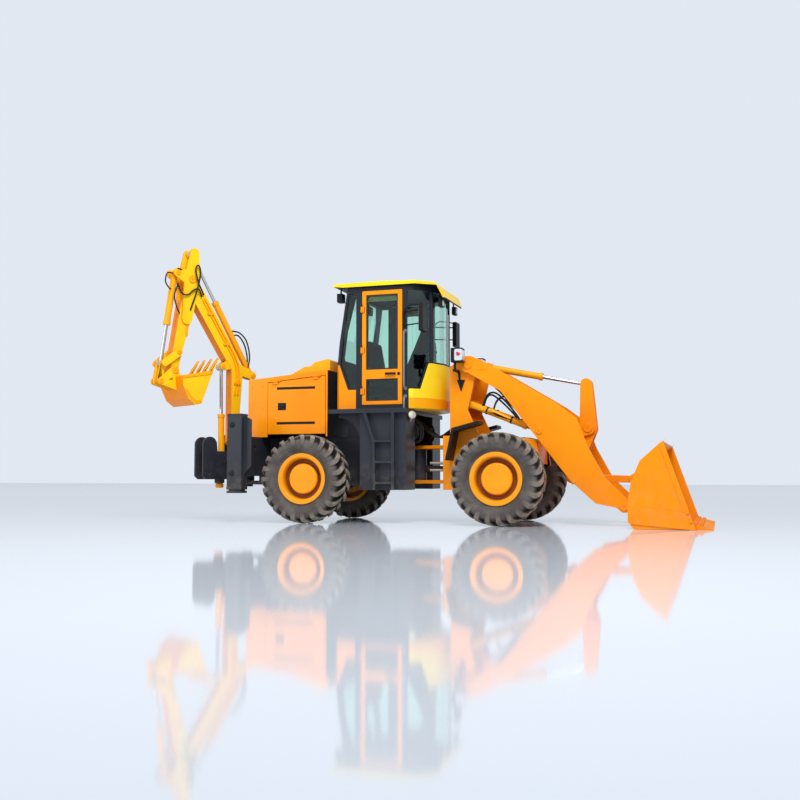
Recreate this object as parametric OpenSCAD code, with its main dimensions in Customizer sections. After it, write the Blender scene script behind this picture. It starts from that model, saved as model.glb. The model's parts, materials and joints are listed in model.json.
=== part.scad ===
// Backhoe loader, millimetres. X forward, Y to the machine's left, Z up.
// The origin is on the ground, straight below the pin that joins the two half frames.

/* [Running gear] */
// Distance between the axles, halved by the frame pin
wheelbase = 2600; // [2560:10:2700]
// Distance between the wheel centres of one axle
track = 1760; // [1740:10:1800]
// Outer diameter of a tyre over its lugs
tyre_d = 1170; // [1140:5:1180]
// Width of a tyre
tyre_w = 410; // [380:5:420]
// Diameter of the wheel's flange
rim_d = 668; // [640:2:690]
// Number of lugs on each side of a tyre
tyre_lugs = 23; // [20:1:23]
// Height of a lug over the tread's base
lug_h = 42; // [30:1:50]
// Radius of an axle tube
axle_r = 78; // [60:1:90]

/* [Rear frame and hood] */
// Plate thickness of both half frames
plate = 40; // [25:1:45]
// Distance from the centre plane to the outside of the rear frame
frame_half = 400; // [380:5:420]
// Top of the rear frame
frame_top = 1150; // [1120:5:1160]
// Half width of the engine hood
hood_half = 660; // [640:5:680]
// Thickness of the hood's sheet walls
hood_wall = 25; // [10:1:30]
// Radius of the pin that joins the half frames
frame_pin_r = 40; // [30:1:50]

/* [Cab] */
// Half width of the cab
cab_half = 700; // [680:5:720]
// Thickness of a cab wall or a door
cab_wall = 50; // [40:1:60]
// Thickness of a pane
pane = 6; // [4:1:10]
// Gap round a door
door_gap = 6; // [5:1:10]

/* [Loader] */
// Outer half width of the two loader arms
arm_half = 500; // [490:5:520]
// Thickness of a loader arm
arm_plate = 40; // [30:1:45]
// Half width of the loader bucket
bucket_half = 1120; // [1100:5:1180]
// Sheet thickness of the loader bucket
bucket_wall = 20; // [12:1:26]
// Number of teeth on the loader bucket
bucket_teeth = 8; // [6:1:10]

/* [Backhoe] */
// Swing of the backhoe to the right of straight behind, as parked
swing = 60; // [40:1:80]
// Half width of boom and stick
boom_half = 75; // [60:1:80]
// Half width of the hoe bucket
hoe_half = 310; // [280:5:340]
// Sheet thickness of the hoe bucket
hoe_wall = 16; // [10:1:20]
// Number of teeth on the hoe bucket
hoe_teeth = 4; // [3:1:5]

/* [Hydraulics] */
// Radius of a cylinder barrel
barrel_r = 45; // [35:1:46]
// Radius of a cylinder rod
rod_r = 24; // [16:1:30]
// Radius of the pin through a cylinder's eye
eye_pin_r = 22; // [16:1:26]
// Radius of the main pins of boom, stick and hoe bucket
hoe_pin_r = 32; // [26:1:36]
// Radius of the pins of the loader arms, bucket and rocker
arm_pin_r = 38; // [30:1:42]
// Radial clearance of a pin or rod in its bore
fit = 0.05; // [0.02:0.01:0.1]
// Side play between an eye and its ears
play = 0.5; // [0.3:0.1:1]

/* [Hidden] */
$fn = 48;
tyre_r = tyre_d / 2;
rim_r = rim_d / 2;
front_x = wheelbase / 2;
rear_x = -wheelbase / 2;
side_gap = 5;
eye_half = barrel_r;
ear_in = eye_half + play;
ear_t = 24;
seat_gap = 0.3;

// Joint pins of the loader, in the X-Z plane
ARM_PIN = [820, 2080];
BUCKET_PIN = [2800, 250];
ROCKER_PIN = [2320, 1240];
ROCKER_TOP = [2300, 1815];
ROCKER_FOOT = [2100, 600];
LINK_PIN = [2880, 580];
TILT_BASE = [1000, 2080];
LIFT_BASE = [730, 1600];
LIFT_BAR = [630, 1610];
LIFT_EYE = [1750, 1197];
CROSS_TUBE = [1983, 1146];

// Joint pins of the backhoe, in its own plane: distance from the swing axis, height
swing_x = -2600;
BOOM_PIN = [270, 1120];
BOOM_CYL_BASE = [445, 800];
BOOM_CYL_EYE = [470, 2180];
STICK_PIN = [1020, 3360];
STICK_CYL_BASE = [-30, 2080];
STICK_CYL_EYE = [980, 3740];
CURL_BASE = [1240, 3430];
HOE_PIN = [1263, 2070];
LEVER_PIN = [1220, 2320];
HOE_EAR = [1472, 1908];
LEVER_END = LEVER_PIN + HOE_EAR - HOE_PIN;

// An X-Z outline as a plate from y0 to y1
module slab(y0, y1) {
    translate([0, y1, 0]) rotate([90, 0, 0]) linear_extrude(y1 - y0) children();
}

// The same plate on both sides of the centre plane
module both(y0, y1) {
    slab(y0, y1) children();
    slab(-y1, -y0) children();
}

// A round bar along Y at the point p of the X-Z plane
module bar_y(p, r, y0, y1) {
    translate([p[0], y1, p[1]]) rotate([90, 0, 0]) cylinder(r = r, h = y1 - y0);
}

// Corners of the four-sided web that is tangent to two circles
function web(p, rp, q, rq) =
    let (d = norm(q - p), u = (q - p) / d, a = acos((rp - rq) / d),
         n1 = [u[0] * cos(a) - u[1] * sin(a), u[0] * sin(a) + u[1] * cos(a)],
         n2 = [u[0] * cos(a) + u[1] * sin(a), -u[0] * sin(a) + u[1] * cos(a)])
    [p + rp * n1, p + rp * n2, q + rq * n2, q + rq * n1];

// Flat strap with two round ends
module strap(p, rp, q, rq) {
    polygon(web(p, rp, q, rq));
    translate(p) circle(rp);
    translate(q) circle(rq);
}

// Places what follows in the backhoe's plane: X outwards, Y to the side, Z up
module in_backhoe() {
    translate([swing_x, 0, 0]) rotate([0, 0, 180 + swing]) children();
}

// Places what follows on the line from p to q of the X-Z plane, X along it
module along(p, q, y = 0) {
    translate([p[0], y, p[1]]) rotate([0, -atan2(q[1] - p[1], q[0] - p[0]), 0]) children();
}

bore_from = 45;

// Cylinder barrel of a length, with an eye at its base and a bored gland
module barrel(length, r) {
    difference() {
        union() {
            rotate([90, 0, 0]) cylinder(r = r * 0.9, h = 2 * eye_half, center = true);
            rotate([0, 90, 0]) cylinder(r = r, h = length);
            translate([length - 50, 0, 0]) rotate([0, 90, 0]) cylinder(r = r + 7, h = 50);
        }
        translate([bore_from, 0, 0]) rotate([0, 90, 0]) cylinder(r = rod_r + fit, h = length);
        rotate([90, 0, 0]) cylinder(r = eye_pin_r + fit, h = 4 * r, center = true);
    }
}

// Cylinder rod whose eye is at the origin and which reaches back along -X
module rod(length, r) {
    difference() {
        union() {
            rotate([90, 0, 0]) cylinder(r = r * 0.9, h = 2 * eye_half, center = true);
            translate([-length, 0, 0]) rotate([0, 90, 0]) cylinder(r = rod_r, h = length);
        }
        rotate([90, 0, 0]) cylinder(r = eye_pin_r + fit, h = 4 * r, center = true);
    }
}

// Wheels
lug_half = 3.2;
lug_slant = 7;
tyre_top = tyre_r / cos(lug_half);
bead_r = (rim_r + seat_gap) / cos(lug_half);

// One ring of the tyre's section: height over the base on the left and on the right half
function tyre_ring(a, b, l, r) = [for (p = [
        [bead_r, -150, a], [tyre_r - 105, -tyre_w / 2 + (l > 0 ? 0 : 8), a],
        [tyre_top - lug_h - 20 + l * (lug_h + 6), -tyre_w / 2 + (l > 0 ? 16 : 34), a],
        [tyre_top - lug_h + l * lug_h, -14, b], [tyre_top - lug_h + r * lug_h, 14, b],
        [tyre_top - lug_h - 20 + r * (lug_h + 6), tyre_w / 2 - (r > 0 ? 16 : 34), a],
        [tyre_r - 105, tyre_w / 2 - (r > 0 ? 0 : 8), a], [bead_r, 150, a]
    ]) [p[0] * cos(p[2]), p[0] * sin(p[2]), p[1]]];

// Tyre on the side s of the machine: each lug of one half faces a gap of the other
module tyre_solid(s) {
    n = 4 * tyre_lugs;
    pitch = 360 / tyre_lugs;
    polyhedron(
        points = [for (i = [0 : tyre_lugs - 1], k = [0 : 3])
            let (b = s * 90 + i * pitch + (k < 2 ? 0 : pitch / 2) + (k % 2 == 0 ? -lug_half : lug_half))
            each tyre_ring(b + s * lug_slant, b, k < 2 ? 1 : 0, k < 2 ? 0 : 1)],
        faces = [for (i = [0 : n - 1], j = [0 : 7])
            let (p = i * 8 + j, q = i * 8 + (j + 1) % 8, u = (i + 1) % n * 8 + (j + 1) % 8, v = (i + 1) % n * 8 + j)
            each [[p, u, q], [p, v, u]]]
    );
}

module rim_solid() {
    rotate_extrude($fn = 96) polygon([
        [0, -20], [0, 100], [185, 100], [200, 85], [205, 40], [255, 40], [272, 135], [288, 152],
        [rim_r, 155], [rim_r, 140], [rim_r - 29, 128], [rim_r - 29, -128], [rim_r, -140],
        [rim_r, -155], [rim_r - 45, -155], [rim_r - 52, -120], [rim_r - 52, 10], [190, 10], [120, -20]
    ]);
}

// Puts a wheel piece at an axle's end: the outside of the wheel faces outwards
module at_wheel(x, side) {
    translate([x, side * track / 2, tyre_r]) rotate([-90 * side, 0, 0]) children();
}

module axle(x) {
    hub_end = track / 2 - 20 - seat_gap;
    translate([x, 0, tyre_r]) {
        rotate([90, 0, 0]) cylinder(r = axle_r, h = 2 * 640, center = true);
        rotate([90, 0, 0]) cylinder(r = 165, h = 240, center = true);
        for (s = [-1, 1]) {
            translate([0, s * 650, 0]) rotate([90, 0, 0]) cylinder(r = 150, h = 90, center = true);
            translate([0, s * (hub_end + 600) / 2, 0]) rotate([90, 0, 0])
                cylinder(r = 105, h = hub_end - 600, center = true);
            translate([-90, s * 365 - 35, 0]) cube([180, 70, 740 - tyre_r]);
        }
    }
}

// Rear frame with the frame pin's tongue, the backhoe's carrier and the leg boxes
leg_box = [215, 180, 1010];
gusset_x = -1990;
gusset_t = 12;
leg_y = 1010;
leg_x = -2310;
leg_z = 440;
leg_wall = 15;
carrier_x = -2290;
tie_y = 860;
tie_r = 30;

module rear_frame() color([0.24, 0.25, 0.27]) {
    difference() {
        union() {
            both(frame_half - plate, frame_half) polygon([
                [carrier_x + 230, 480], [-1640, 480], [-1560, 740], [-1040, 740], [-960, 480], [-330, 480],
                [-330, 1080], [-420, frame_top], [carrier_x + 230, frame_top]
            ]);
            slab(-frame_half + plate, frame_half - plate) polygon([
                [carrier_x + 230, frame_top - 30], [-420, frame_top - 30], [-420, frame_top],
                [carrier_x + 230, frame_top]
            ]);
            slab(-frame_half + plate, frame_half - plate) polygon([
                [-360, 480], [-330, 480], [-330, 1080], [-360, 1080]
            ]);
            for (z = [600, 900]) translate([-332, 0, z]) linear_extrude(50)
                polygon([[0, -260], [250, -110], [332, -110], [332, 110], [250, 110], [0, 260]]);
            translate([0, 0, 565 + play]) cylinder(r = 110, h = 420 - 2 * play);
        }
        translate([0, 0, 500]) cylinder(r = frame_pin_r + fit, h = 600);
    }
}

// Cross box at the rear end of the frame, with the swing post's bearing and the leg boxes
module backhoe_carrier() color([0.24, 0.25, 0.27]) {
    difference() {
        union() {
            translate([carrier_x, -leg_y - 5, 620]) cube([230 - seat_gap, 2 * leg_y + 10, frame_top - 620]);
            for (s = [-1, 1]) translate([leg_x, s * (leg_y + leg_box[1] / 2) - leg_box[1] / 2, leg_z])
                cube(leg_box);
            for (s = [-1, 1]) translate([0, s * (leg_y + leg_box[1] / 2), 0])
                slab(-gusset_t / 2, gusset_t / 2) polygon([
                    [leg_x + leg_box[0] - 5, 640], [gusset_x, 760], [gusset_x, 1370],
                    [leg_x + leg_box[0] - 5, leg_z + leg_box[2] - 20]
                ]);
            for (z = [500, 930]) translate([0, 0, z]) linear_extrude(55)
                polygon([
                    [carrier_x + 5, -260], [swing_x + 170, -105], [swing_x, -105],
                    [swing_x, 105], [swing_x + 170, 105], [carrier_x + 5, 260]
                ]);
            for (z = [500, 930]) translate([swing_x, 0, z]) cylinder(r = 105, h = 55);
            translate([carrier_x, -260, 500]) cube([60, 520, 485]);
        }
        for (s = [-1, 1])
            translate([leg_x + leg_wall, s * (leg_y + leg_box[1] / 2) - leg_box[1] / 2 + leg_wall, leg_z - 1])
                cube([leg_box[0] - 2 * leg_wall, leg_box[1] - 2 * leg_wall, leg_box[2] - leg_wall + 1]);
        translate([swing_x, 0, 400]) cylinder(r = swing_pin_r + fit, h = 700);
        for (s = [-1, 1]) translate([carrier_x - 10, s * tie_y, 1000]) rotate([0, 90, 0])
            cylinder(r = tie_r, h = 250);
    }
}

module stabiliser_leg(s) color([0.3, 0.31, 0.33]) {
    w = leg_box[0] - 2 * leg_wall - 2 * side_gap;
    d = leg_box[1] - 2 * leg_wall - 2 * side_gap;
    g = side_gap - play;
    translate([leg_x + leg_box[0] / 2, s * (leg_y + leg_box[1] / 2), 0]) {
        translate([-w / 2, -d / 2, leg_z - 20]) cube([w, d, 880]);
        translate([-w / 2 - g, -d / 2 - g, leg_z + 780]) cube([w + 2 * g, d + 2 * g, 80]);
        translate([-leg_box[0] / 2, -leg_box[1] / 2, leg_z - 45]) cube([leg_box[0], leg_box[1], 30]);
    }
}

module rear_axle() color([0.12, 0.12, 0.13]) axle(rear_x);
module front_axle() color([0.12, 0.12, 0.13]) axle(front_x);

// Engine hood: roof, rear wall and front wall, open at the sides for its doors
hood_x0 = -2270;
hood_x1 = -1085;
hood_z0 = 1948;
hood_z1 = 2056;
hood_slope = (hood_z1 - hood_z0) / (hood_x1 - hood_x0);
function hood_z(x) = hood_z0 + (x - hood_x0) * hood_slope;
HOOD = [[hood_x0, frame_top + seat_gap], [hood_x1, frame_top + seat_gap], [hood_x1, hood_z1], [hood_x0, hood_z0]];

module hood() color([0.98, 0.6, 0.05]) {
    difference() {
        slab(-hood_half, hood_half) polygon(HOOD);
        slab(-hood_half + hood_wall, hood_half - hood_wall) polygon([
            [hood_x0 + hood_wall, 1100], [hood_x1 - hood_wall, 1100],
            [hood_x1 - hood_wall, hood_z1 - hood_wall - 2], [hood_x0 + hood_wall, hood_z0 - hood_wall]
        ]);
        both(hood_half - hood_wall - 1, hood_half + 1) polygon(HOOD_DOOR_HOLE);
    }
    for (s = [-1, 1]) at_hood_hinge(s) for (x = HOOD_HINGES) {
        translate([x + 40 + play, 0, 0]) rotate([0, 90, 0]) cylinder(r = 12, h = 40);
        translate([x + 40 + play, s > 0 ? -16 : -2, -4]) cube([40, 18, 34]);
        translate([x - 35, 0, 0]) rotate([0, 90, 0]) cylinder(r = 6, h = 90);
    }
}

// Hinge line of a hood door, along the sloping top edge
HOOD_HINGES = [-180, 420];
hinge_out = 14;
hood_hinge_x = -1677;
module at_hood_hinge(s) {
    translate([hood_hinge_x, s * (hood_half + hinge_out), hood_z(hood_hinge_x) - 69.5])
        rotate([0, -atan(hood_slope), 0]) children();
}

hood_door_x0 = -1975;
hood_door_x1 = -1115;
hood_door_drop = 68;
HOOD_DOOR_HOLE = [
    [hood_door_x0, 1100], [hood_door_x1, 1100],
    [hood_door_x1, hood_z(hood_door_x1) - hood_door_drop], [hood_door_x0, hood_z(hood_door_x0) - hood_door_drop]
];

module hood_door(s) color([0.98, 0.6, 0.05]) {
    g = door_gap;
    y0 = hood_half - hood_wall;
    difference() {
        slab(s > 0 ? y0 : -hood_half, s > 0 ? hood_half : -y0) polygon([
            [hood_door_x0 + g, 1190], [hood_door_x1 - g, 1190],
            [hood_door_x1 - g, hood_z(hood_door_x1) - hood_door_drop - g - 1],
            [hood_door_x0 + g, hood_z(hood_door_x0) - hood_door_drop - g - 1]
        ]);
        for (z = [1340, 1819]) translate([-1552, s * (hood_half + 1), z]) cube([565, 16, 32], center = true);
    }
    at_hood_hinge(s) for (x = HOOD_HINGES) difference() {
        union() {
            translate([x - 40, 0, 0]) rotate([0, 90, 0]) cylinder(r = 12, h = 80);
            translate([x - 40, s > 0 ? -16 : -2, -40]) cube([80, 18, 40]);
        }
        translate([x - 41, 0, 0]) rotate([0, 90, 0]) cylinder(r = 6 + fit, h = 82);
    }
}

module engine_block() color([0.15, 0.15, 0.16])
    translate([-2150, -330, frame_top]) cube([950, 660, 600]);

// Height just above the hood's sloping roof
function hood_top(x) = hood_z(x) + seat_gap;

module intake_cover() color([0.95, 0.7, 0.15]) {
    slab(-560, -60) polygon([
        [-1715, hood_top(-1715)], [-1095, hood_top(-1095)], [-1095, 2195], [-1130, 2218], [-1330, 2175],
        [-1380, 2126], [-1470, 2122]
    ]);
}

// Cab shell: side outline cut by a plan outline whose front tapers to a narrow nose
cab_floor = 1500;
cab_top = 3145;
cab_back = -945;
cab_knee = 2110;
cab_lean = 0.15;
function cab_side(t, z0, z1) = [
    [cab_back + t, z0], [500, z0], [500, z1], [cab_back + t + cab_lean * (z1 - cab_knee), z1], [cab_back + t, cab_knee]
];
nose_half = cab_half - 20;
CAB_PLAN = [
    [-960, -cab_half + 60], [-900, -cab_half], [20, -cab_half], [130, -nose_half], [330, -430], [415, -150],
    [415, 150], [330, 430], [130, nose_half], [20, cab_half], [-900, cab_half], [-960, cab_half - 60]
];
CAB_PLAN_IN = [
    [-890, -cab_half + cab_wall], [15, -cab_half + cab_wall], [104, -nose_half + 46], [285, -408], [362, -142],
    [362, 142], [285, 408], [104, nose_half - 46], [15, cab_half - cab_wall], [-890, cab_half - cab_wall]
];
door_x0 = -585;
door_x1 = -10;
door_z0 = 1556;
door_z1 = 3095;
stile = 66;
DOOR_HOLE = [[door_x0, door_z0], [door_x1, door_z0], [door_x1, door_z1], [door_x0, door_z1]];
DOOR_PANES = [[1612, 1905], [2030, 3035]];
SIDE_PANE = [[-882, 2128], [-770, 3065], [-664, 3065], [-664, 1795], [-752, 1795]];
LOW_PANEL = [[-1000, 1490], [-661, 1490], [-661, 1768], [-775, 1768], [-900, cab_knee], [-1000, cab_knee]];
COWL = [[66, 1490], [500, 1490], [500, 2118], [283, 2118], [200, 1768], [66, 1768]];
WINDSCREEN = [[45, 1788], [186, 1788], [268, 2138], [500, 2138], [500, 3075], [45, 3075]];

module cab_outer() {
    intersection() {
        slab(-cab_half, cab_half) polygon(cab_side(0, cab_floor, cab_top));
        translate([0, 0, cab_floor]) linear_extrude(cab_top - cab_floor) polygon(CAB_PLAN);
    }
}

module cab_shell() {
    difference() {
        cab_outer();
        intersection() {
            slab(-cab_half, cab_half) polygon(cab_side(cab_wall + 5, cab_floor + cab_wall, cab_top + 20));
            translate([0, 0, cab_floor + cab_wall]) linear_extrude(cab_top - cab_floor) polygon(CAB_PLAN_IN);
        }
    }
}

// Thin sheet in the middle of the cab's walls, for the panes
module cab_sheet() {
    t0 = 20;
    difference() {
        intersection() {
            slab(-cab_half + t0, cab_half - t0) polygon(cab_side(t0, cab_floor, cab_top));
            translate([0, 0, cab_floor]) linear_extrude(cab_top - cab_floor) polygon([
                [-960, -cab_half + t0], [18, -cab_half + t0], [120, -nose_half + 18], [312, -421], [394, -147],
                [394, 147], [312, 421], [120, nose_half - 18], [18, cab_half - t0], [-960, cab_half - t0]
            ]);
        }
        intersection() {
            slab(-cab_half + t0 + pane, cab_half - t0 - pane)
                polygon(cab_side(t0 + pane, cab_floor - 100, cab_top + 40));
            translate([0, 0, cab_floor - 100]) linear_extrude(cab_top - cab_floor + 200) polygon([
                [-970, -cab_half + t0 + pane], [17, -cab_half + t0 + pane], [117, -nose_half + 18 + pane],
                [307, -418], [387, -146], [387, 146], [307, 418], [117, nose_half - 18 - pane],
                [17, cab_half - t0 - pane], [-970, cab_half - t0 - pane]
            ]);
        }
    }
}

// Window cutters: side panes, rear pane, and the windscreen round the nose between two thin pillars
module window_cuts() {
    both(400, cab_half + 10) polygon(SIDE_PANE);
    translate([-1000, -560, 2180]) cube([300, 1120, 880]);
    difference() {
        slab(-cab_half - 10, cab_half + 10) polygon(WINDSCREEN);
        for (s = [-1, 1]) translate([270, s * 430 - 18, 2100]) cube([80, 36, 1000]);
    }
}

// The front cowl's region of the shell
module cowl_region() {
    slab(-cab_half - 20, cab_half + 20) polygon(COWL);
}

module cab_frame() color([0.17, 0.18, 0.2]) {
    difference() {
        cab_shell();
        both(cab_half - cab_wall - 1, cab_half + 1) polygon(DOOR_HOLE);
        window_cuts();
        cowl_region();
        both(300, cab_half + 10) polygon(LOW_PANEL);
    }
    for (s = [-1, 1], z = DOOR_HINGES) {
        translate([DOOR_AXIS, s * (cab_half + hinge_out), z + 80 + play]) cylinder(r = 12, h = 40);
        translate([DOOR_AXIS - 40, s > 0 ? cab_half - 2 : -cab_half - 16, z + 80 + play]) cube([40, 18, 40]);
        translate([DOOR_AXIS, s * (cab_half + hinge_out), z + 5]) cylinder(r = 6, h = 90);
    }
}

module cab_cowl() color([1, 0.82, 0.15]) {
    intersection() {
        difference() {
            cab_shell();
            window_cuts();
        }
        cowl_region();
    }
}

module cab_rear_panels() color([0.98, 0.6, 0.05]) {
    intersection() {
        difference() {
            cab_shell();
            window_cuts();
        }
        both(300, cab_half + 10) polygon(LOW_PANEL);
    }
}

module cab_glass() color([0.6, 0.8, 0.75, 0.4]) {
    intersection() {
        cab_sheet();
        difference() {
            window_cuts();
            cowl_region();
            both(300, cab_half + 10) polygon(LOW_PANEL);
        }
    }
}

module cab_roof() color([1, 0.85, 0.2]) {
    intersection() {
        slab(-750, 750) polygon([
            [-975, cab_top + 17], [-830, cab_top], [418, cab_top], [482, 2985], [505, 2995], [432, 3150],
            [380, 3186], [-300, 3206], [-975, 3200]
        ]);
        translate([0, 0, 2900]) linear_extrude(400) polygon([
            [-1000, -760], [150, -760], [430, -560], [520, -420], [520, 420], [430, 560], [150, 760], [-1000, 760]
        ]);
    }
}

module seat() color([0.1, 0.1, 0.11]) {
    slab(-230, 230) polygon([[-620, 1850], [-180, 1850], [-160, 1960], [-520, 1950], [-620, 2480],
        [-720, 2480], [-700, 1950]]);
    translate([-580, -150, 1500 + cab_wall]) cube([320, 300, 300]);
}

module steering_console() color([0.13, 0.13, 0.14]) {
    slab(-120, 120) polygon([[90, 1550], [270, 1550], [230, 2150], [90, 2200]]);
    translate([70, 0, 2250]) rotate([0, -25, 0]) {
        rotate_extrude($fn = 48) translate([190, 0]) circle(r = 14, $fn = 24);
        cylinder(r = 40, h = 30, center = true);
        for (a = [0, 120, 240]) rotate([0, 0, a]) translate([0, -12, -6]) cube([185, 24, 12]);
        translate([0, 0, -150]) cylinder(r = 25, h = 150);
    }
}

// Deck beside and below the cab, its ladders, fender brackets and side tanks
deck_half = cab_half + 200;
ladder_t = 40;
module platform() color([0.25, 0.26, 0.28]) {
    translate([-981, -deck_half, 1440]) cube([1069, 2 * deck_half, 60 - seat_gap]);
    side_deck();
    mirror([0, 1, 0]) side_deck();
    for (s = [-1, 1]) translate([-900, s * 340 - 40, frame_top]) cube([560, 80, 1440 - frame_top]);
}

// Side tanks hang between the rear frame and the ladders
tank_in = frame_half + 20;
tank_out = cab_half + 120;
module side_deck() {
    translate([-560, tank_in, 440]) cube([635, tank_out - tank_in, 1010]);
    slab(deck_half - ladder_t, deck_half) {
        polygon([[-352, 440], [-314, 440], [-330, 1087], [-450, 1450], [-492, 1450], [-368, 1087]]);
        polygon([[-102, 440], [-62, 440], [-62, 1450], [-102, 1450]]);
    }
    for (z = RUNGS) translate([-350, tank_out - 20, z - 14]) cube([270, deck_half - tank_out + 20, 28]);
    slab(cab_half, cab_half + ladder_t) difference() {
        polygon([[-890, 1450], [-550, 1450], [-550, 1085], [-600, 1085], [-890, 1390]]);
        translate([-910, 1075]) circle(320);
    }
}
RUNGS = [531, 802, 1073];

module mirrors() color([0.1, 0.1, 0.11]) {
    for (s = [-1, 1]) {
        translate([285, s * 850 - 100, 2490]) cube([58, 200, 360]);
        for (z = [2600, 2780]) link_bar([10, s * (cab_half + 10), z], [300, s * 850, z], 9);
        translate([-5, s * (cab_half + 8) - 8 + seat_gap * s, 2570]) cube([30, 16, 240]);
    }
}

// Round bar between two points
module link_bar(p, q, r) {
    v = q - p;
    translate(p) rotate([0, acos(v[2] / norm(v)), atan2(v[1], v[0])]) cylinder(r = r, h = norm(v));
}

module work_lamps() color([0.1, 0.1, 0.11]) {
    for (s = [-1, 1]) {
        translate([-975, s * 560 - 60, 2975]) cube([80, 120, 120]);
        translate([-945, s * 560 - 10, 3090]) cube([20, 20, cab_top + 11 - seat_gap - 3090]);
        translate([396, s * 350 - 60, 2880]) cube([55, 120, 110]);
        translate([398, s * 350 - 10, 2985]) cube([18, 20, cab_top - seat_gap - 2985]);
    }
}

module cab_door(s) color([0.98, 0.6, 0.05]) {
    g = door_gap;
    slab(s > 0 ? cab_half - cab_wall : -cab_half, s > 0 ? cab_half : -cab_half + cab_wall) difference() {
        translate([door_x0 + g, door_z0 + g]) square([door_x1 - door_x0 - 2 * g, door_z1 - door_z0 - 2 * g]);
        door_panes();
    }
    for (z = DOOR_HINGES) difference() {
        union() {
            translate([DOOR_AXIS, s * (cab_half + hinge_out), z]) cylinder(r = 12, h = 80);
            translate([DOOR_AXIS, s > 0 ? cab_half - 2 : -cab_half - 16, z]) cube([40, 18, 80]);
        }
        translate([DOOR_AXIS, s * (cab_half + hinge_out), z - 1]) cylinder(r = 6 + fit, h = 82);
    }
}
DOOR_AXIS = door_x0 + 3;

// Upper and lower pane of a door, between its stiles
module door_panes() {
    for (p = DOOR_PANES) translate([door_x0 + stile, p[0]]) square([door_x1 - door_x0 - 2 * stile, p[1] - p[0]]);
}
DOOR_HINGES = [1700, 2250, 2800];

module door_glass(s) color([0.6, 0.8, 0.75, 0.4]) {
    y0 = cab_half - cab_wall / 2;
    slab(s > 0 ? y0 : -y0 - pane, s > 0 ? y0 + pane : -y0) door_panes();
}

// Front frame: two tower plates, cross plates, pin lugs
tower_half = 420;
TOWER = [
    [460, 440], [460, 1150], [557, 1150], [557, 2060], [720, 2170], [900, 2150], [930, 2060], [800, 1480], [940, 1180],
    [1700, 1090], [1750, 760], [1560, 740], [1040, 740], [800, 740], [700, 440]
];

module front_frame() color([0.98, 0.6, 0.05]) {
    both(tower_half - plate, tower_half) polygon(TOWER);
    both(tower_half - plate, arm_half - arm_plate - play) translate(ARM_PIN) circle(90);
    both(tower_half - plate, arm_half) translate(ARM_PIN) circle(arm_pin_r);
    translate([557, -tower_half + plate, 1150]) cube([30, 2 * (tower_half - plate), 700]);
    translate([490, -tower_half + plate, 450]) cube([210, 2 * (tower_half - plate), 30]);
    translate([1660, -tower_half + plate, 780]) cube([40, 2 * (tower_half - plate), 300]);
    for (z = [520, 985]) difference() {
        translate([0, 0, z]) linear_extrude(45) polygon([[-30, -100], [470, -360], [470, 360], [-30, 100]]);
        translate([0, 0, z - 1]) cylinder(r = frame_pin_r, h = 47);
    }
    translate([460, -tower_half + plate, 450]) cube([30, 2 * (tower_half - plate), 600]);
    translate([0, 0, 515]) cylinder(r = frame_pin_r, h = 520);
    both(ear_in, ear_in + ear_t) strap(TILT_BASE, 60, [760, 2050], 90);
    bar_y(TILT_BASE, eye_pin_r, -ear_in - ear_t, ear_in + ear_t);
    bar_y([760, 2050], 60, -tower_half + plate, tower_half - plate);
    for (s = [-1, 1]) translate([0, s * LIFT_IN, 0]) {
        both(ear_in, ear_in + ear_t) strap(LIFT_BASE, 60, LIFT_BAR, 60);
        bar_y(LIFT_BASE, eye_pin_r, -ear_in - ear_t, ear_in + ear_t);
    }
    bar_y(LIFT_BAR, 50, -tower_half + plate, tower_half - plate);
}

// Headlamps stand outside the loader arms, on brackets from the towers
lamp_y = arm_half + 110;
lamp_post = 30;
module headlamps() color([0.1, 0.1, 0.11]) {
    reach = lamp_y + lamp_post / 2;
    for (s = [-1, 1]) {
        translate([640, s * lamp_y - 80, 2095]) cube([150, 160, 185]);
        translate([665, s * lamp_y - lamp_post / 2, 1980]) cube([30, lamp_post, 140]);
        translate([650, s > 0 ? tower_half : -reach, 1980]) cube([45, reach - tower_half, 30]);
    }
    both(tower_half, tower_half + 12) polygon([
        [665, 2000], [695, 2000], [705, 1885], [768, 1885], [712, 1724], [656, 1885], [680, 1885]
    ]);
}

module front_mudguards() color([0.1, 0.1, 0.11]) {
    both(tower_half, tower_half + 280) polygon([
        [560, 824], [603, 820], [680, 1195], [1010, 1285], [1000, 1328], [650, 1240]
    ]);
}

// Loader
module loader_arms() color([0.98, 0.6, 0.05]) {
    difference() {
        both(arm_half - arm_plate, arm_half) {
            polygon([
                [760, 2160], [860, 2190], [1020, 2120], [1960, 1550], [2230, 1345], [2360, 990], [2570, 600],
                [2830, 345], [2870, 235], [2800, 168], [2690, 232], [2450, 280], [2140, 560], [1780, 1030],
                [1250, 1720], [800, 1980]
            ]);
            translate(ARM_PIN) circle(110);
            translate(BUCKET_PIN) circle(82);
        }
        bar_y(ARM_PIN, arm_pin_r + fit, -arm_half - 1, arm_half + 1);
    }
    bar_y(CROSS_TUBE, 60, -arm_half + arm_plate, arm_half - arm_plate);
    both(rocker_out + play, rocker_out + 40) strap(CROSS_TUBE, 75, ROCKER_PIN, 90);
    bar_y(ROCKER_PIN, arm_pin_r, -rocker_out - 40, rocker_out + 40);
    both(LIFT_IN + ear_in, arm_half - arm_plate) translate(LIFT_EYE) circle(60);
    both(bucket_ear_out + play, arm_half - arm_plate) translate(BUCKET_PIN) circle(70);
    both(bucket_ear_out - ear_t, arm_half) translate(BUCKET_PIN) circle(arm_pin_r);
}

LIFT_IN = 300;
bucket_ear_out = 420;
rocker_out = 95;

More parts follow.
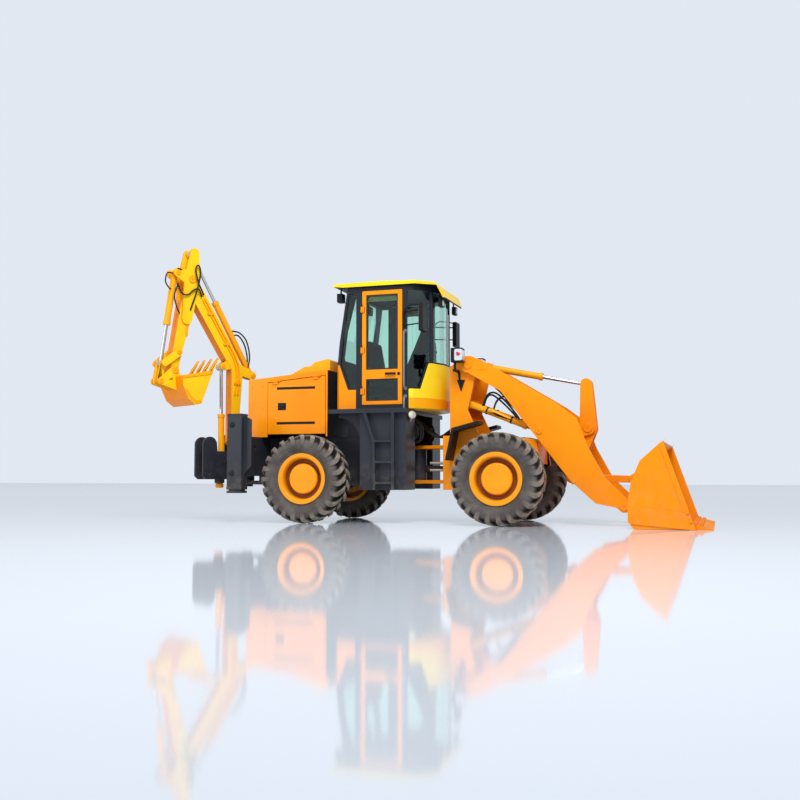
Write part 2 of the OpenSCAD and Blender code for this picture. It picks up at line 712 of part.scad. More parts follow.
LOADER_BUCKET = [[2960, 0], [3660, 0], [3310, 1030], [3240, 980], [3040, 800], [2935, 560], [2895, 320], [2890, 90]];
LOADER_BUCKET_IN = [[2975, 20], [3700, 20], [3360, 1060], [3252, 962], [3057, 790], [2955, 555], [2915, 318], [2912, 98]];

module loader_bucket() color([0.98, 0.6, 0.05]) {
    difference() {
        slab(-bucket_half, bucket_half) polygon(LOADER_BUCKET);
        slab(-bucket_half + bucket_wall, bucket_half - bucket_wall) polygon(LOADER_BUCKET_IN);
    }
    both(bucket_half - 1, bucket_half + 14) {
        polygon([[3592, 2], [3659, 2], [3309, 1028], [3262, 1000]]);
        polygon([[2930, 60], [3610, 2], [3540, 190], [3060, 250]]);
    }
    both(bucket_ear_out - 35, bucket_ear_out) difference() {
        union() {
            strap(BUCKET_PIN, 85, [2895, 270], 80);
            polygon([[2895, 190], [2912, 190], [2925, 420], [2905, 420]]);
        }
        translate(BUCKET_PIN) circle(arm_pin_r + fit);
    }
    both(link_half + play, link_half + 30) strap(LINK_PIN, 60, [2945, 600], 80);
    bar_y(LINK_PIN, eye_pin_r, -link_half - 30, link_half + 30);
    for (i = [0 : bucket_teeth - 1])
        translate([0, -bucket_half + 110 + i * (2 * bucket_half - 220) / (bucket_teeth - 1), 0])
            slab(-45, 45) polygon([[3560, 0], [3850, 0], [3850, 15], [3620, 70], [3560, 20]]);
}

module loader_rocker() color([0.98, 0.6, 0.05]) difference() {
    union() {
        both(60, rocker_out) {
            strap(ROCKER_TOP, 75, ROCKER_PIN, 110);
            strap(ROCKER_PIN, 110, ROCKER_FOOT, 75);
        }
        both(ear_in, rocker_out) translate(ROCKER_TOP) circle(60);
        both(link_half + play, rocker_out) translate(ROCKER_FOOT) circle(60);
        bar_y(ROCKER_PIN, 75, -60, 60);
    }
    bar_y(ROCKER_PIN, arm_pin_r + fit, -rocker_out - 1, rocker_out + 1);
}

module loader_link() color([0.98, 0.6, 0.05]) difference() {
    slab(-link_half, link_half) strap(ROCKER_FOOT, 50, LINK_PIN, 45);
    bar_y(LINK_PIN, eye_pin_r + fit, -link_half - 1, link_half + 1);
    bar_y(ROCKER_FOOT, eye_pin_r + fit, -link_half - 1, link_half + 1);
}
link_half = 50;

// Barrel length of each cylinder, and how far its rod sits in the barrel as parked
tilt_len = 740;
tilt_in = 190;
lift_len = 900;
lift_in = 640;
boom_len = 702;
boom_in = 50;
stick_len = 1200;
stick_in = 120;
curl_len = 740;
curl_in = 120;
module tilt_barrel() color([1, 0.8, 0.2]) along(TILT_BASE, ROCKER_TOP) barrel(tilt_len, barrel_r);
module tilt_rod() color([0.85, 0.86, 0.88]) along(TILT_BASE, ROCKER_TOP)
    translate([norm(ROCKER_TOP - TILT_BASE), 0, 0]) rod(norm(ROCKER_TOP - TILT_BASE) - tilt_len + tilt_in, barrel_r);
module lift_barrels() color([1, 0.8, 0.2]) for (s = [-1, 1])
    along(LIFT_BASE, LIFT_EYE, s * LIFT_IN) barrel(lift_len, barrel_r);
module lift_rods() color([0.85, 0.86, 0.88]) for (s = [-1, 1]) along(LIFT_BASE, LIFT_EYE, s * LIFT_IN)
    translate([norm(LIFT_EYE - LIFT_BASE), 0, 0]) rod(norm(LIFT_EYE - LIFT_BASE) - lift_len + lift_in, barrel_r);

// Backhoe
post_in = boom_half + 12;
swing_pin_r = 45;
post_out = post_in + 35;
cheek = 28;

module swing_post() color([0.24, 0.25, 0.27]) in_backhoe() {
    both(post_in, post_out) {
        polygon([
            [110, 575], [760, 575], [812, 620], [812, 1060], [590, 1060], [580, 970], [400, 970],
            [375, 1100], [165, 1100], [110, 900]
        ]);
        translate([701, 1060]) circle(111);
        translate(BOOM_PIN) circle(105);
    }
    translate([0, 0, 555 + play]) cylinder(r = 100, h = 375 - 2 * play);
    translate([20, -post_out, 575]) cube([130, 2 * post_out, 330]);
    translate([100, -post_out, 575]) cube([600, 2 * post_out, 40]);
    translate([0, 0, 480]) cylinder(r = swing_pin_r, h = 520);
    translate([0, 0, 470]) cylinder(r = 80, h = 30 - play);
    translate([470, 0, 520]) cylinder(r = 70, h = 60);
    bar_y(BOOM_PIN, hoe_pin_r, -post_out, post_out);
    bar_y(BOOM_CYL_BASE, eye_pin_r, -post_out, post_out);
    both(ear_in, post_in) translate(BOOM_CYL_BASE) circle(50);
}

BOOM = [
    [195, 1120], [190, 1560], [150, 2100], [230, 2330], [790, 3190], [955, 3415],
    [1095, 3310], [930, 3010], [500, 2370], [340, 2150], [340, 1120]
];

module hoe_boom() color([1, 0.8, 0.15]) in_backhoe() difference() {
    union() {
        slab(-boom_half, boom_half) {
            polygon(BOOM);
            translate(STICK_PIN) circle(86);
        }
        slab(-post_in + play, post_in - play) translate(BOOM_PIN) circle(75);
        both(ear_in, ear_in + ear_t) {
            strap(BOOM_CYL_EYE, 50, [330, 2230], 80);
            strap(STICK_CYL_BASE, 55, [230, 2160], 80);
        }
        bar_y(STICK_CYL_BASE, eye_pin_r, -ear_in - ear_t, ear_in + ear_t);
    }
    bar_y(BOOM_PIN, hoe_pin_r + fit, -post_in, post_in);
    bar_y(STICK_PIN, hoe_pin_r + fit, -boom_half - 1, boom_half + 1);
}

stick_half = boom_half + side_gap;
module hoe_stick() color([1, 0.8, 0.15]) in_backhoe() {
    box_top = STICK_PIN + 0.28 * (HOE_PIN - STICK_PIN);
    both(stick_half, stick_half + cheek) {
        strap(STICK_PIN, 120, STICK_CYL_EYE, 70);
        strap(STICK_PIN, 120, box_top + [0, -200], 80);
        strap(STICK_PIN, 110, CURL_BASE, 65);
    }
    both(boom_half + play, stick_half) translate(STICK_PIN) circle(80);
    both(ear_in, stick_half) {
        translate(STICK_CYL_EYE) circle(50);
        translate(CURL_BASE) circle(50);
    }
    bar_y(STICK_PIN, hoe_pin_r, -stick_half - cheek, stick_half + cheek);
    bar_y(CURL_BASE, eye_pin_r, -stick_half - cheek, stick_half + cheek);
    difference() {
        union() {
            slab(-stick_half, stick_half) {
                strap(box_top, 85, HOE_PIN, 62);
                strap(box_top + [20, -250], 80, LEVER_PIN, 70);
            }
            slab(-hoe_ear_in + play, hoe_ear_in - play) translate(HOE_PIN) circle(55);
        }
        bar_y(HOE_PIN, hoe_pin_r + fit, -hoe_ear_in - 1, hoe_ear_in + 1);
    }
    slab(-lever_in + play, lever_in - play) translate(LEVER_PIN) circle(40);
    bar_y(LEVER_PIN, eye_pin_r, -lever_in - 22, lever_in + 22);
}
hoe_ear_in = stick_half + side_gap;

HOE = [[1258, 1985], [1250, 1850], [1165, 1670], [1050, 1590], [960, 1612], [790, 2060], [830, 2075]];
HOE_IN = [[1275, 2070], [1235, 1860], [1155, 1683], [1046, 1606], [970, 1628], [800, 2120], [830, 2160]];

module hoe_bucket() color([1, 0.8, 0.15]) in_backhoe() {
    difference() {
        slab(-hoe_half, hoe_half) polygon(HOE);
        slab(-hoe_half + hoe_wall, hoe_half - hoe_wall) polygon(HOE_IN);
    }
    both(hoe_ear_in, hoe_ear_in + 25) {
        strap(HOE_PIN, 62, [1215, 1850], 60);
        strap(HOE_PIN, 62, HOE_EAR, 45);
        strap([1215, 1850], 60, HOE_EAR, 45);
    }
    bar_y(HOE_PIN, hoe_pin_r, -hoe_ear_in - 25, hoe_ear_in + 25);
    bar_y(HOE_EAR, eye_pin_r, -hoe_ear_in - 25, hoe_ear_in + 25);
    for (i = [0 : hoe_teeth - 1])
        translate([0, -hoe_half + 45 + i * (2 * hoe_half - 90) / (hoe_teeth - 1), 0])
            slab(-28, 28) polygon([[845, 1935], [870, 1950], [800, 2120], [690, 2270], [680, 2262], [770, 2090]]);
}

lever_in = hoe_ear_in + 25 + side_gap;
module hoe_lever() color([0.98, 0.6, 0.05]) in_backhoe() difference() {
    union() {
        both(lever_in, lever_in + 22) strap(LEVER_PIN, 55, LEVER_END, 50);
        both(link_out + play, lever_in) translate(LEVER_END) circle(40);
    }
    bar_y(LEVER_PIN, eye_pin_r + fit, -lever_in - 23, lever_in + 23);
}

link_out = ear_in + 24;
module hoe_link() color([0.98, 0.6, 0.05]) in_backhoe() difference() {
    union() {
        both(ear_in, link_out) strap(LEVER_END, 42, HOE_EAR, 42);
        both(ear_in, hoe_ear_in - play) translate(HOE_EAR) circle(38);
        both(ear_in, link_out) translate(LEVER_END) circle(42);
    }
    bar_y(HOE_EAR, eye_pin_r + fit, -hoe_ear_in - 1, hoe_ear_in + 1);
}

module boom_barrel() color([1, 0.8, 0.2]) in_backhoe()
    along(BOOM_CYL_BASE, BOOM_CYL_EYE) barrel(boom_len, barrel_r);
module boom_rod() color([0.85, 0.86, 0.88]) in_backhoe() along(BOOM_CYL_BASE, BOOM_CYL_EYE)
    translate([norm(BOOM_CYL_EYE - BOOM_CYL_BASE), 0, 0])
        rod(norm(BOOM_CYL_EYE - BOOM_CYL_BASE) - boom_len + boom_in, barrel_r);
module stick_barrel() color([1, 0.8, 0.2]) in_backhoe()
    along(STICK_CYL_BASE, STICK_CYL_EYE) barrel(stick_len, barrel_r);
module stick_rod() color([0.85, 0.86, 0.88]) in_backhoe() along(STICK_CYL_BASE, STICK_CYL_EYE)
    translate([norm(STICK_CYL_EYE - STICK_CYL_BASE), 0, 0])
        rod(norm(STICK_CYL_EYE - STICK_CYL_BASE) - stick_len + stick_in, barrel_r);
module curl_barrel() color([1, 0.8, 0.2]) in_backhoe()
    along(CURL_BASE, LEVER_END) barrel(curl_len, barrel_r);
module curl_rod() color([0.85, 0.86, 0.88]) in_backhoe() along(CURL_BASE, LEVER_END)
    translate([norm(LEVER_END - CURL_BASE), 0, 0])
        rod(norm(LEVER_END - CURL_BASE) - curl_len + curl_in, barrel_r);

rear_frame();
backhoe_carrier();
rear_axle();
hood();
engine_block();
intake_cover();
cab_frame();
cab_roof();
cab_cowl();
cab_rear_panels();
cab_glass();
seat();
steering_console();
platform();
mirrors();
work_lamps();
front_frame();
front_axle();
headlamps();
front_mudguards();
color("dimgray") at_wheel(front_x, -1) tyre_solid(-1);  // tyre_front_right
color("dimgray") at_wheel(front_x, 1) tyre_solid(1);  // tyre_front_left
color("dimgray") at_wheel(rear_x, -1) tyre_solid(-1);  // tyre_rear_right
color("dimgray") at_wheel(rear_x, 1) tyre_solid(1);  // tyre_rear_left
color("orange") at_wheel(front_x, -1) rim_solid();  // rim_front_right
color("orange") at_wheel(front_x, 1) rim_solid();  // rim_front_left
color("orange") at_wheel(rear_x, -1) rim_solid();  // rim_rear_right
color("orange") at_wheel(rear_x, 1) rim_solid();  // rim_rear_left
cab_door(-1);  // cab_door_right
cab_door(1);  // cab_door_left
door_glass(-1);  // door_glass_right
door_glass(1);  // door_glass_left
hood_door(-1);  // hood_door_right
hood_door(1);  // hood_door_left
loader_arms();
loader_bucket();
loader_rocker();
loader_link();
tilt_barrel();
tilt_rod();
lift_barrels();
lift_rods();
swing_post();
hoe_boom();
hoe_stick();
hoe_bucket();
hoe_lever();
hoe_link();
boom_barrel();
boom_rod();
stick_barrel();
stick_rod();
curl_barrel();
curl_rod();
stabiliser_leg(-1);  // stabiliser_leg_right
stabiliser_leg(1);  // stabiliser_leg_left
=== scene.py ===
import json
import math

import bmesh
import bpy
import numpy as np
from mathutils import Matrix, Vector


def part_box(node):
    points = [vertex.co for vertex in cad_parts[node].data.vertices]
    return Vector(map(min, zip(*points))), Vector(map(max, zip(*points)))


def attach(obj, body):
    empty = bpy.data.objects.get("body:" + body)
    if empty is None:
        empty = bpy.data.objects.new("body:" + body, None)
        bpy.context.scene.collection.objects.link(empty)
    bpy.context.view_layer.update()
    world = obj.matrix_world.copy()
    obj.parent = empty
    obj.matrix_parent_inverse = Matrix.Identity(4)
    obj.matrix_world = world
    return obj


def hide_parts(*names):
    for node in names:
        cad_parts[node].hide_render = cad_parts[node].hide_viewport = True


# The machine stands on the ground, X forward, Y to its left, in metres. Its frame pin is at
# X 0, and its right-hand side faces the camera.
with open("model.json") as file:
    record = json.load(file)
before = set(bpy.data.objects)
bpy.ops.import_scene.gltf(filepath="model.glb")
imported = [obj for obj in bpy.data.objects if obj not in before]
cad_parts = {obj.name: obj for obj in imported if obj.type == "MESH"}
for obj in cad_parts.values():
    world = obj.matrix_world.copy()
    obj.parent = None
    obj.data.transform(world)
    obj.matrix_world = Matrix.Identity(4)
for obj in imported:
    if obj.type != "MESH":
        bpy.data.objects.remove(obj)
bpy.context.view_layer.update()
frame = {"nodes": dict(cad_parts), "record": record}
scene = bpy.context.scene
scene.view_settings.view_transform = "Standard"

# Camera
# A low, distant camera ahead of the machine's middle, on its right-hand side, turned a little
# towards the rear. The horizon lies just below the middle of the picture.
camera_place = (3.952, -13.0, 0.621)
camera_turn = math.radians(18)
picture = 800
focal_pixels = 987.7
horizon_row = 476
camera_rise = math.atan((horizon_row - picture / 2) / focal_pixels)
lens = bpy.data.cameras.new("camera")
lens.sensor_width = 36
lens.lens = focal_pixels / picture * lens.sensor_width
camera = bpy.data.objects.new("camera", lens)
camera.location = camera_place
camera.rotation_euler = (math.pi / 2 + camera_rise, 0, camera_turn)
scene.collection.objects.link(camera)
scene.camera = camera


# Floor and light
# A pale polished floor, a bright even sky and two soft lamps: one high on the right of the
# picture and a weaker one at the left.
def linear(red, green, blue):
    """Linear colour of a colour given as 0 to 255 on screen."""
    shares = np.array([red, green, blue]) / 255
    return (*np.where(shares <= 0.04045, shares / 12.92, ((shares + 0.055) / 1.055) ** 2.4), 1)


class Wire:
    """One value of a shader. Python's operators on it add Math nodes."""

    def __init__(self, tree, socket):
        self.tree = tree
        self.socket = socket

    def maths(self, operation, *others, clamp=False):
        node = self.tree.nodes.new("ShaderNodeMath")
        node.operation = operation
        node.use_clamp = clamp
        for slot, value in zip(node.inputs, (self, *others)):
            connect(self.tree, slot, value)
        return Wire(self.tree, node.outputs[0])

    def __add__(self, other):
        return self.maths("ADD", other)

    def __radd__(self, other):
        return self.maths("ADD", other)

    def __sub__(self, other):
        return self.maths("SUBTRACT", other)

    def __rsub__(self, other):
        return self.maths("MULTIPLY", -1).maths("ADD", other)

    def __mul__(self, other):
        return self.maths("MULTIPLY", other)

    def __rmul__(self, other):
        return self.maths("MULTIPLY", other)

    def __truediv__(self, other):
        return self.maths("DIVIDE", other)

    def __pow__(self, other):
        return self.maths("POWER", other)

    def clamp(self):
        return self.maths("ADD", 0, clamp=True)

    def step(self, low, high):
        """0 below low, 1 above high, straight between."""
        return self.maths("SUBTRACT", low).maths("DIVIDE", high - low, clamp=True)


def connect(tree, slot, value):
    """Links a wire to a socket, or sets the socket's own value."""
    if isinstance(value, Wire):
        tree.links.new(value.socket, slot)
    else:
        slot.default_value = value


class Finish:
    """A material in the making, with one method that adds any node."""

    def __init__(self, name, world=None):
        self.material = world or bpy.data.materials.new(name)
        self.material.use_nodes = True
        self.tree = self.material.node_tree
        self.tree.nodes.clear()

    def node(self, kind, settings=None, values=None, out=0):
        """Adds a node, its settings first, then the values or links of its sockets."""
        made = self.tree.nodes.new("ShaderNode" + kind)
        for key, value in (settings or {}).items():
            setattr(made, key, value)
        for key, value in (values or {}).items():
            slots = [s for s in made.inputs if key in (s.identifier, s.name) and s.enabled]
            connect(self.tree, slots[0], value)
        if not made.outputs:
            return None
        if isinstance(out, int):
            return Wire(self.tree, made.outputs[out])
        found = [s for s in made.outputs if out in (s.identifier, s.name) and s.enabled]
        return Wire(self.tree, found[0])

    def place(self, centre=(0, 0, 0), scale=(1, 1, 1)):
        """Object coordinates, counted from a centre."""
        values = {"Vector": self.node("TexCoord", out="Object"), "Vector_001": centre}
        moved = self.node("VectorMath", {"operation": "SUBTRACT"}, values)
        return self.node("Mapping", None, {"Vector": moved, "Scale": scale})

    def axes(self, centre=(0, 0, 0)):
        """Object coordinates counted from a centre, as three values."""
        parts = self.node("SeparateXYZ", None, {"Vector": self.place(centre)}).socket.node
        return [Wire(self.tree, socket) for socket in parts.outputs]

    def noise(self, scale, detail=3, where=None):
        where = where or self.node("TexCoord", out="Object")
        values = {"Vector": where, "Scale": scale, "Detail": detail, "Roughness": 0.55}
        return self.node("TexNoise", None, values, "Fac")

    def mix(self, share, first, second):
        """Colour between first and second."""
        values = {"Factor_Float": share, "A_Color": first, "B_Color": second}
        return self.node("Mix", {"data_type": "RGBA"}, values, "Result_Color")

    def height(self, value, strength, distance):
        """A bump from a height value."""
        values = {"Height": value, "Strength": strength, "Distance": distance}
        return self.node("Bump", None, values)

    def surface(self, **sockets):
        """The closing Principled shader; underscores in a name stand for spaces."""
        values = {key.replace("_", " "): value for key, value in sockets.items()}
        shader = self.node("BsdfPrincipled", None, values)
        self.node("OutputMaterial", None, {"Surface": shader})
        return self.material


sky = Finish("sky", bpy.data.worlds.new("sky"))
scene.world = sky.material
paths = sky.node("LightPath").socket.node
seen = Wire(sky.tree, paths.outputs["Is Camera Ray"])
mirrored = Wire(sky.tree, paths.outputs["Is Glossy Ray"])
through = Wire(sky.tree, paths.outputs["Is Transmission Ray"])
background_share = (seen + mirrored * 0.75 + through).clamp()
sky_light = 0.60
sky_colour = sky.mix(background_share, linear(226, 232, 240), linear(225, 232, 242))
sky_strength = background_share * (1 - sky_light) + sky_light
backdrop = sky.node("Background", None, {"Color": sky_colour, "Strength": sky_strength})
sky.node("OutputWorld", None, {"Surface": backdrop})

floor_paint = Finish("floor").surface(
    Base_Color=linear(226, 233, 242), Roughness=0.06, Specular_IOR_Level=0.8
)
floor_half = 60
floor_corners = floor_half * np.array([(-1, -1, 0), (1, -1, 0), (1, 1, 0), (-1, 1, 0)])
floor_mesh = bpy.data.meshes.new("floor")
floor_mesh.from_pydata(floor_corners.tolist(), [], [(0, 1, 2, 3)])
floor_mesh.materials.append(floor_paint)
floor = bpy.data.objects.new("floor", floor_mesh)
scene.collection.objects.link(floor)


def lamp(name, place, target, width, power):
    """A square soft lamp that looks at a point."""
    data = bpy.data.lights.new(name, "AREA")
    data.size = width
    data.energy = power
    made = bpy.data.objects.new(name, data)
    made.location = place
    made.rotation_euler = (Vector(target) - Vector(place)).to_track_quat("-Z", "Y").to_euler()
    scene.collection.objects.link(made)


lamp("key", (3, -8, 10), (0.5, 0, 1.2), 5, 1250)
lamp("fill", (-9, -9, 4), (-1, 0, 1.5), 6, 350)


# Frames
# Two half frames of thick plate, welded and joined by the frame pin. The rear one carries the
# deck with its ladders and tanks, and the cross box of the backhoe with the two leg guides.
# Thick gloss paint rounds every edge, and a little dust lies low down.
def paint(name, colour, shade, rough=0.3, coat=0.08, dust=0.2):
    """Machine paint: the colour is clouded towards shade by a broad noise and a streaky one,
    and the dust is a noise that thins out with height."""
    finish = Finish(name)
    cloud = finish.noise(1.3, 4).step(0.35, 0.7)
    streak = finish.noise(5, 4, finish.place(scale=(1, 1, 0.25))).step(0.5, 0.8)
    clouded = (cloud * 0.55 + streak * 0.25).clamp()
    dusty = (1 - finish.axes()[2].step(0.1, 0.9)) * finish.noise(9, 5).step(0.42, 0.72)
    dusty = (dusty * dust).clamp()
    body = finish.mix(clouded, linear(*colour), linear(*shade))
    return finish.surface(
        Base_Color=finish.mix(dusty, body, linear(176, 150, 112)),
        Roughness=rough + finish.noise(45, 3) * 0.10 + dusty * 0.35,
        Coat_Weight=coat,
        Coat_Roughness=0.12,
        Specular_IOR_Level=0.18,
        Normal=finish.height(finish.noise(260, 2), 0.10, 0.0005),
    )


def body_of(node):
    """Name of the body that a CAD piece belongs to."""
    groups = frame["record"]["behaviour"]["bodies"]
    return next(body for body, members in groups.items() if node in members)


def dress(made, finish, body):
    """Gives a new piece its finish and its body."""
    made.data.materials.clear()
    made.data.materials.append(finish)
    if made.name not in scene.collection.objects:
        scene.collection.objects.link(made)
    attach(made, body)
    return made


def softened(node, finish, edge, segments=2, other=None, where=None, joined=True):
    """A copy of a CAD piece with its triangles joined and its edges rounded by the paint. Faces
    whose normal and centre pass the test where take the other finish. A piece whose flat sides
    carry raised plates keeps its triangles."""
    mesh = frame["nodes"][node].data.copy()
    mesh.name = node + "_skin"
    for name in [a.name for a in mesh.attributes if a.name.startswith("custom_normal")]:
        mesh.attributes.remove(mesh.attributes[name])
    work = bmesh.new()
    work.from_mesh(mesh)
    bmesh.ops.remove_doubles(work, verts=work.verts, dist=2e-5)
    if joined:
        flat = math.radians(0.4)
        bmesh.ops.dissolve_limit(work, angle_limit=flat, verts=work.verts, edges=work.edges)
    normals = np.array([face.normal for face in work.faces])
    centres = np.array([face.calc_center_median() for face in work.faces])
    for face in work.faces:
        face.smooth = True
    work.to_mesh(mesh)
    work.free()
    made = bpy.data.objects.new(node + "_skin", mesh)
    scene.collection.objects.link(made)
    bevel = made.modifiers.new("edges", "BEVEL")
    bevel.width = edge
    bevel.segments = segments
    bevel.limit_method = "ANGLE"
    bevel.angle_limit = math.radians(28)
    bevel.use_clamp_overlap = False
    bevel.harden_normals = True
    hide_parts(node)
    dress(made, finish, body_of(node))
    if other:
        mesh.materials.append(other)
        chosen = where(normals, centres).astype(np.int32)
        mesh.polygons.foreach_set("material_index", chosen)


orange = paint("orange_paint", (248, 147, 0), (236, 125, 0))
charcoal = paint("charcoal_paint", (48, 50, 57), (37, 39, 45), rough=0.34, dust=0.3)
both_sides = (("right", -1), ("left", 1))
softened("rear_frame", charcoal, 0.006)
softened("backhoe_carrier", charcoal, 0.006)
softened("platform", charcoal, 0.004, joined=False)
softened("swing_post", charcoal, 0.005)
softened("front_frame", orange, 0.006)
for side, hand in both_sides:
    softened("stabiliser_leg_" + side, charcoal, 0.004)

# Axles and engine
# Cast drive axles bolted under the half frames, and the engine between the hood's walls, all in
# thin black paint with road dust on it.
black_iron = paint("black_iron", (38, 37, 37), (26, 26, 27), rough=0.5, coat=0.05, dust=0.5)
for node in ("rear_axle", "front_axle", "engine_block"):
    softened(node, black_iron, 0.006)


# Wheels
# Wide traction tyres: a carcass with two ribs on each wall, and two rows of slanting bar lugs
# that meet in a V on the crown and run down over the shoulders. The pressed steel rims are
# painted and bolted to the hubs.
axle_reach, half_track, axle_height = 1.3, 0.88, 0.585
tyre_radius, tyre_half, bead_radius = 0.5845, 0.2045, 0.330
widest_radius = 0.455


def tyre_section(turn, lift):
    """Half width and radius of the tyre's section at an angle from the crown. Both are
    superellipses; lift 0 is the carcass, and lift 1 the top of the lugs."""
    sine, cosine = np.sin(turn), np.cos(turn)
    half = (0.195 + 0.010 * lift) * np.sign(sine) * np.abs(sine) ** (0.8 - 0.12 * lift)
    rise = (tyre_radius - widest_radius) * (0.70 + 0.30 * lift)
    up = rise * np.abs(cosine) ** (0.62 - 0.27 * lift)
    down = (widest_radius - bead_radius) * np.abs(cosine) ** 0.9
    return half, widest_radius + np.where(cosine >= 0, up, -down)


def grid_faces(rows, columns, wrap_rows, wrap_columns):
    """Quads of a grid of points, closed on itself where wrapped."""
    i, j = np.meshgrid(
        np.arange(rows if wrap_rows else rows - 1),
        np.arange(columns if wrap_columns else columns - 1), indexing="ij"
    )
    below, right = (i + 1) % rows, (j + 1) % columns
    corners = [i * columns + j, i * columns + right, below * columns + right, below * columns + j]
    return np.stack([c.ravel() for c in corners], 1)


def tyre_mesh():
    """The carcass is the section turned about the axle. A lug is a six-cornered bar swept from
    the crown over the shoulder; its angle about the axle grows with the distance from the
    middle plane. The attribute lug_top is 0 on the carcass and 1 on top of a lug."""
    turns = np.radians(np.linspace(-138, 138, 61))
    half, radius = tyre_section(turns, 0)
    ribs = 0.0035 * np.exp(-((np.abs(turns) - 2.05) / 0.03) ** 2)
    ribs += 0.003 * np.exp(-((np.abs(turns) - 1.72) / 0.03) ** 2)
    half = half + np.sign(half) * ribs
    bead = bead_radius + 0.006
    half = np.concatenate([[-0.128, -0.139], half, [0.139, 0.128]])
    radius = np.concatenate([[0.306, bead], radius, [bead, 0.306]])
    spins = np.linspace(0, 2 * np.pi, 144, endpoint=False)
    spin, row = np.meshgrid(spins, np.arange(len(half)), indexing="ij")
    carcass = np.stack([radius[row] * np.cos(spin), half[row], radius[row] * np.sin(spin)], -1)
    points = [carcass.reshape(-1, 3)]
    faces = [grid_faces(len(spins), len(half), True, True)]

    lugs = 23
    stations = np.radians(np.array([2, 14, 26, 38, 48, 56, 63, 70, 78, 86, 94, 101.0]))
    fade = np.array([0.97, 1, 1, 1, 1, 1, 1, 1, 0.96, 0.86, 0.55, 0.05])
    across = np.array([-0.092, -0.078, -0.066, 0.066, 0.078, 0.092])
    lift = np.array([-0.10, 0.86, 1.0, 1.0, 0.86, -0.10])
    spread = 0.46 / axle_height * 1.05
    end = 6 * (len(stations) - 1)
    caps = np.array([[0, 1, 4, 5], [1, 2, 3, 4], [5, 4, 1, 0], [4, 3, 2, 1]])
    caps[2:] += end
    lug_faces = np.concatenate([grid_faces(len(stations), 6, False, True), caps])
    for hand in (-1, 1):
        start = 2 * np.pi * (np.arange(lugs) + 0.25 * hand) / lugs
        a, s, c = np.meshgrid(start, np.arange(len(stations)), np.arange(6), indexing="ij")
        rise = np.where(lift[c] > 0, lift[c] * fade[s], lift[c])
        y, r = tyre_section(stations[s], rise)
        lean = 0.20 * np.abs(y) / tyre_half
        narrow = 1 - 0.12 * np.sin(stations[s])
        angle = a + lean + across[c] * narrow * spread
        lug_points = np.stack([r * np.cos(angle), hand * y, r * np.sin(angle)], -1)
        firsts = sum(map(len, points)) + (end + 6) * np.arange(lugs)
        points.append(lug_points.reshape(-1, 3))
        faces.append((lug_faces[:, ::-hand] + firsts[:, None, None]).reshape(-1, 4))

    mesh = bpy.data.meshes.new("tyre")
    mesh.from_pydata(np.concatenate(points).tolist(), [], np.concatenate(faces).tolist())
    smooth = np.arange(len(mesh.polygons)) < len(faces[0])
    mesh.polygons.foreach_set("use_smooth", smooth)
    tops = np.tile(np.clip((lift[None] * fade[:, None]).ravel(), 0, 1), lugs * 2)
    tops = np.concatenate([np.zeros(len(points[0])), tops]).astype(np.float32)
    mesh.attributes.new("lug_top", "FLOAT", "POINT").data.foreach_set("value", tops)
    work = bmesh.new()
    work.from_mesh(mesh)
    bmesh.ops.recalc_face_normals(work, faces=work.faces)
    work.to_mesh(mesh)
    work.free()
    return mesh


def tyre_rubber(name, axle):
    """Brown-grey rubber: black painted shade between the lugs, tan dry earth with a painted
    highlight on the lugs' tops and edges, and pale dust on the walls, counted from the wheel's
    axle."""
    finish = Finish(name)
    x, y, z = finish.axes(axle)
    radius = (x * x + z * z) ** 0.5
    lug = finish.node("Attribute", {"attribute_name": "lug_top"}, None, "Fac")
    grain = finish.noise(70, 5)
    # Painted shade: the grooves between the lugs are near black.
    groove_shade = radius.step(0.505, 0.53) * (1 - lug.step(0.15, 0.75))
    # The lugs' tops, most of all on the crown, take tan: dry earth and a painted highlight.
    crown = 0.35 + radius.step(0.545, 0.575) * 0.65
    earth_and_highlight = lug.step(0.55, 0.95) * crown * (0.3 + finish.noise(14, 6).step(0.38, 0.62) * 0.7)
    dusty = (finish.noise(6, 5).step(0.35, 0.7) * 0.6 + grain.step(0.5, 0.8) * 0.3).clamp()
    wall = finish.mix(dusty, linear(70, 64, 61), linear(114, 107, 102))
    rubber = finish.mix(groove_shade, wall, linear(17, 14, 12))
    return finish.surface(
        Base_Color=finish.mix((earth_and_highlight * 0.75).clamp(), rubber, linear(188, 172, 150)),
        Roughness=0.72 + earth_and_highlight * 0.2,
        Specular_IOR_Level=0.3,
        Normal=finish.height(grain, 0.4, 0.003),
    )


def wheel_paint(name, axle, outside):
    """Yellow-orange wheel paint with painted shade, dark brown, in the well between the flange and
    the hub disc.
    """
    finish = Finish(name)
    x, y, z = finish.axes(axle)
    radius = (x * x + z * z) ** 0.5
    well = radius.step(0.196, 0.205) * (1 - radius.step(0.262, 0.285))
    # Painted shade: the well turns brown, fading out towards the wheel's outer face.
    shade = (well * (1 - (y * outside).step(0.045, 0.125))).clamp()
    clouded = finish.noise(6, 4).step(0.35, 0.8) * 0.5
    body = finish.mix(clouded, linear(246, 156, 8), linear(234, 132, 2))
    return finish.surface(
        Base_Color=finish.mix(shade * 0.9, body, linear(118, 46, 6)),
        Roughness=0.36 + shade * 0.3,
        Coat_Weight=0.1,
        Specular_IOR_Level=0.3,
        Normal=finish.height(finish.noise(60, 3), 0.12, 0.001),
    )


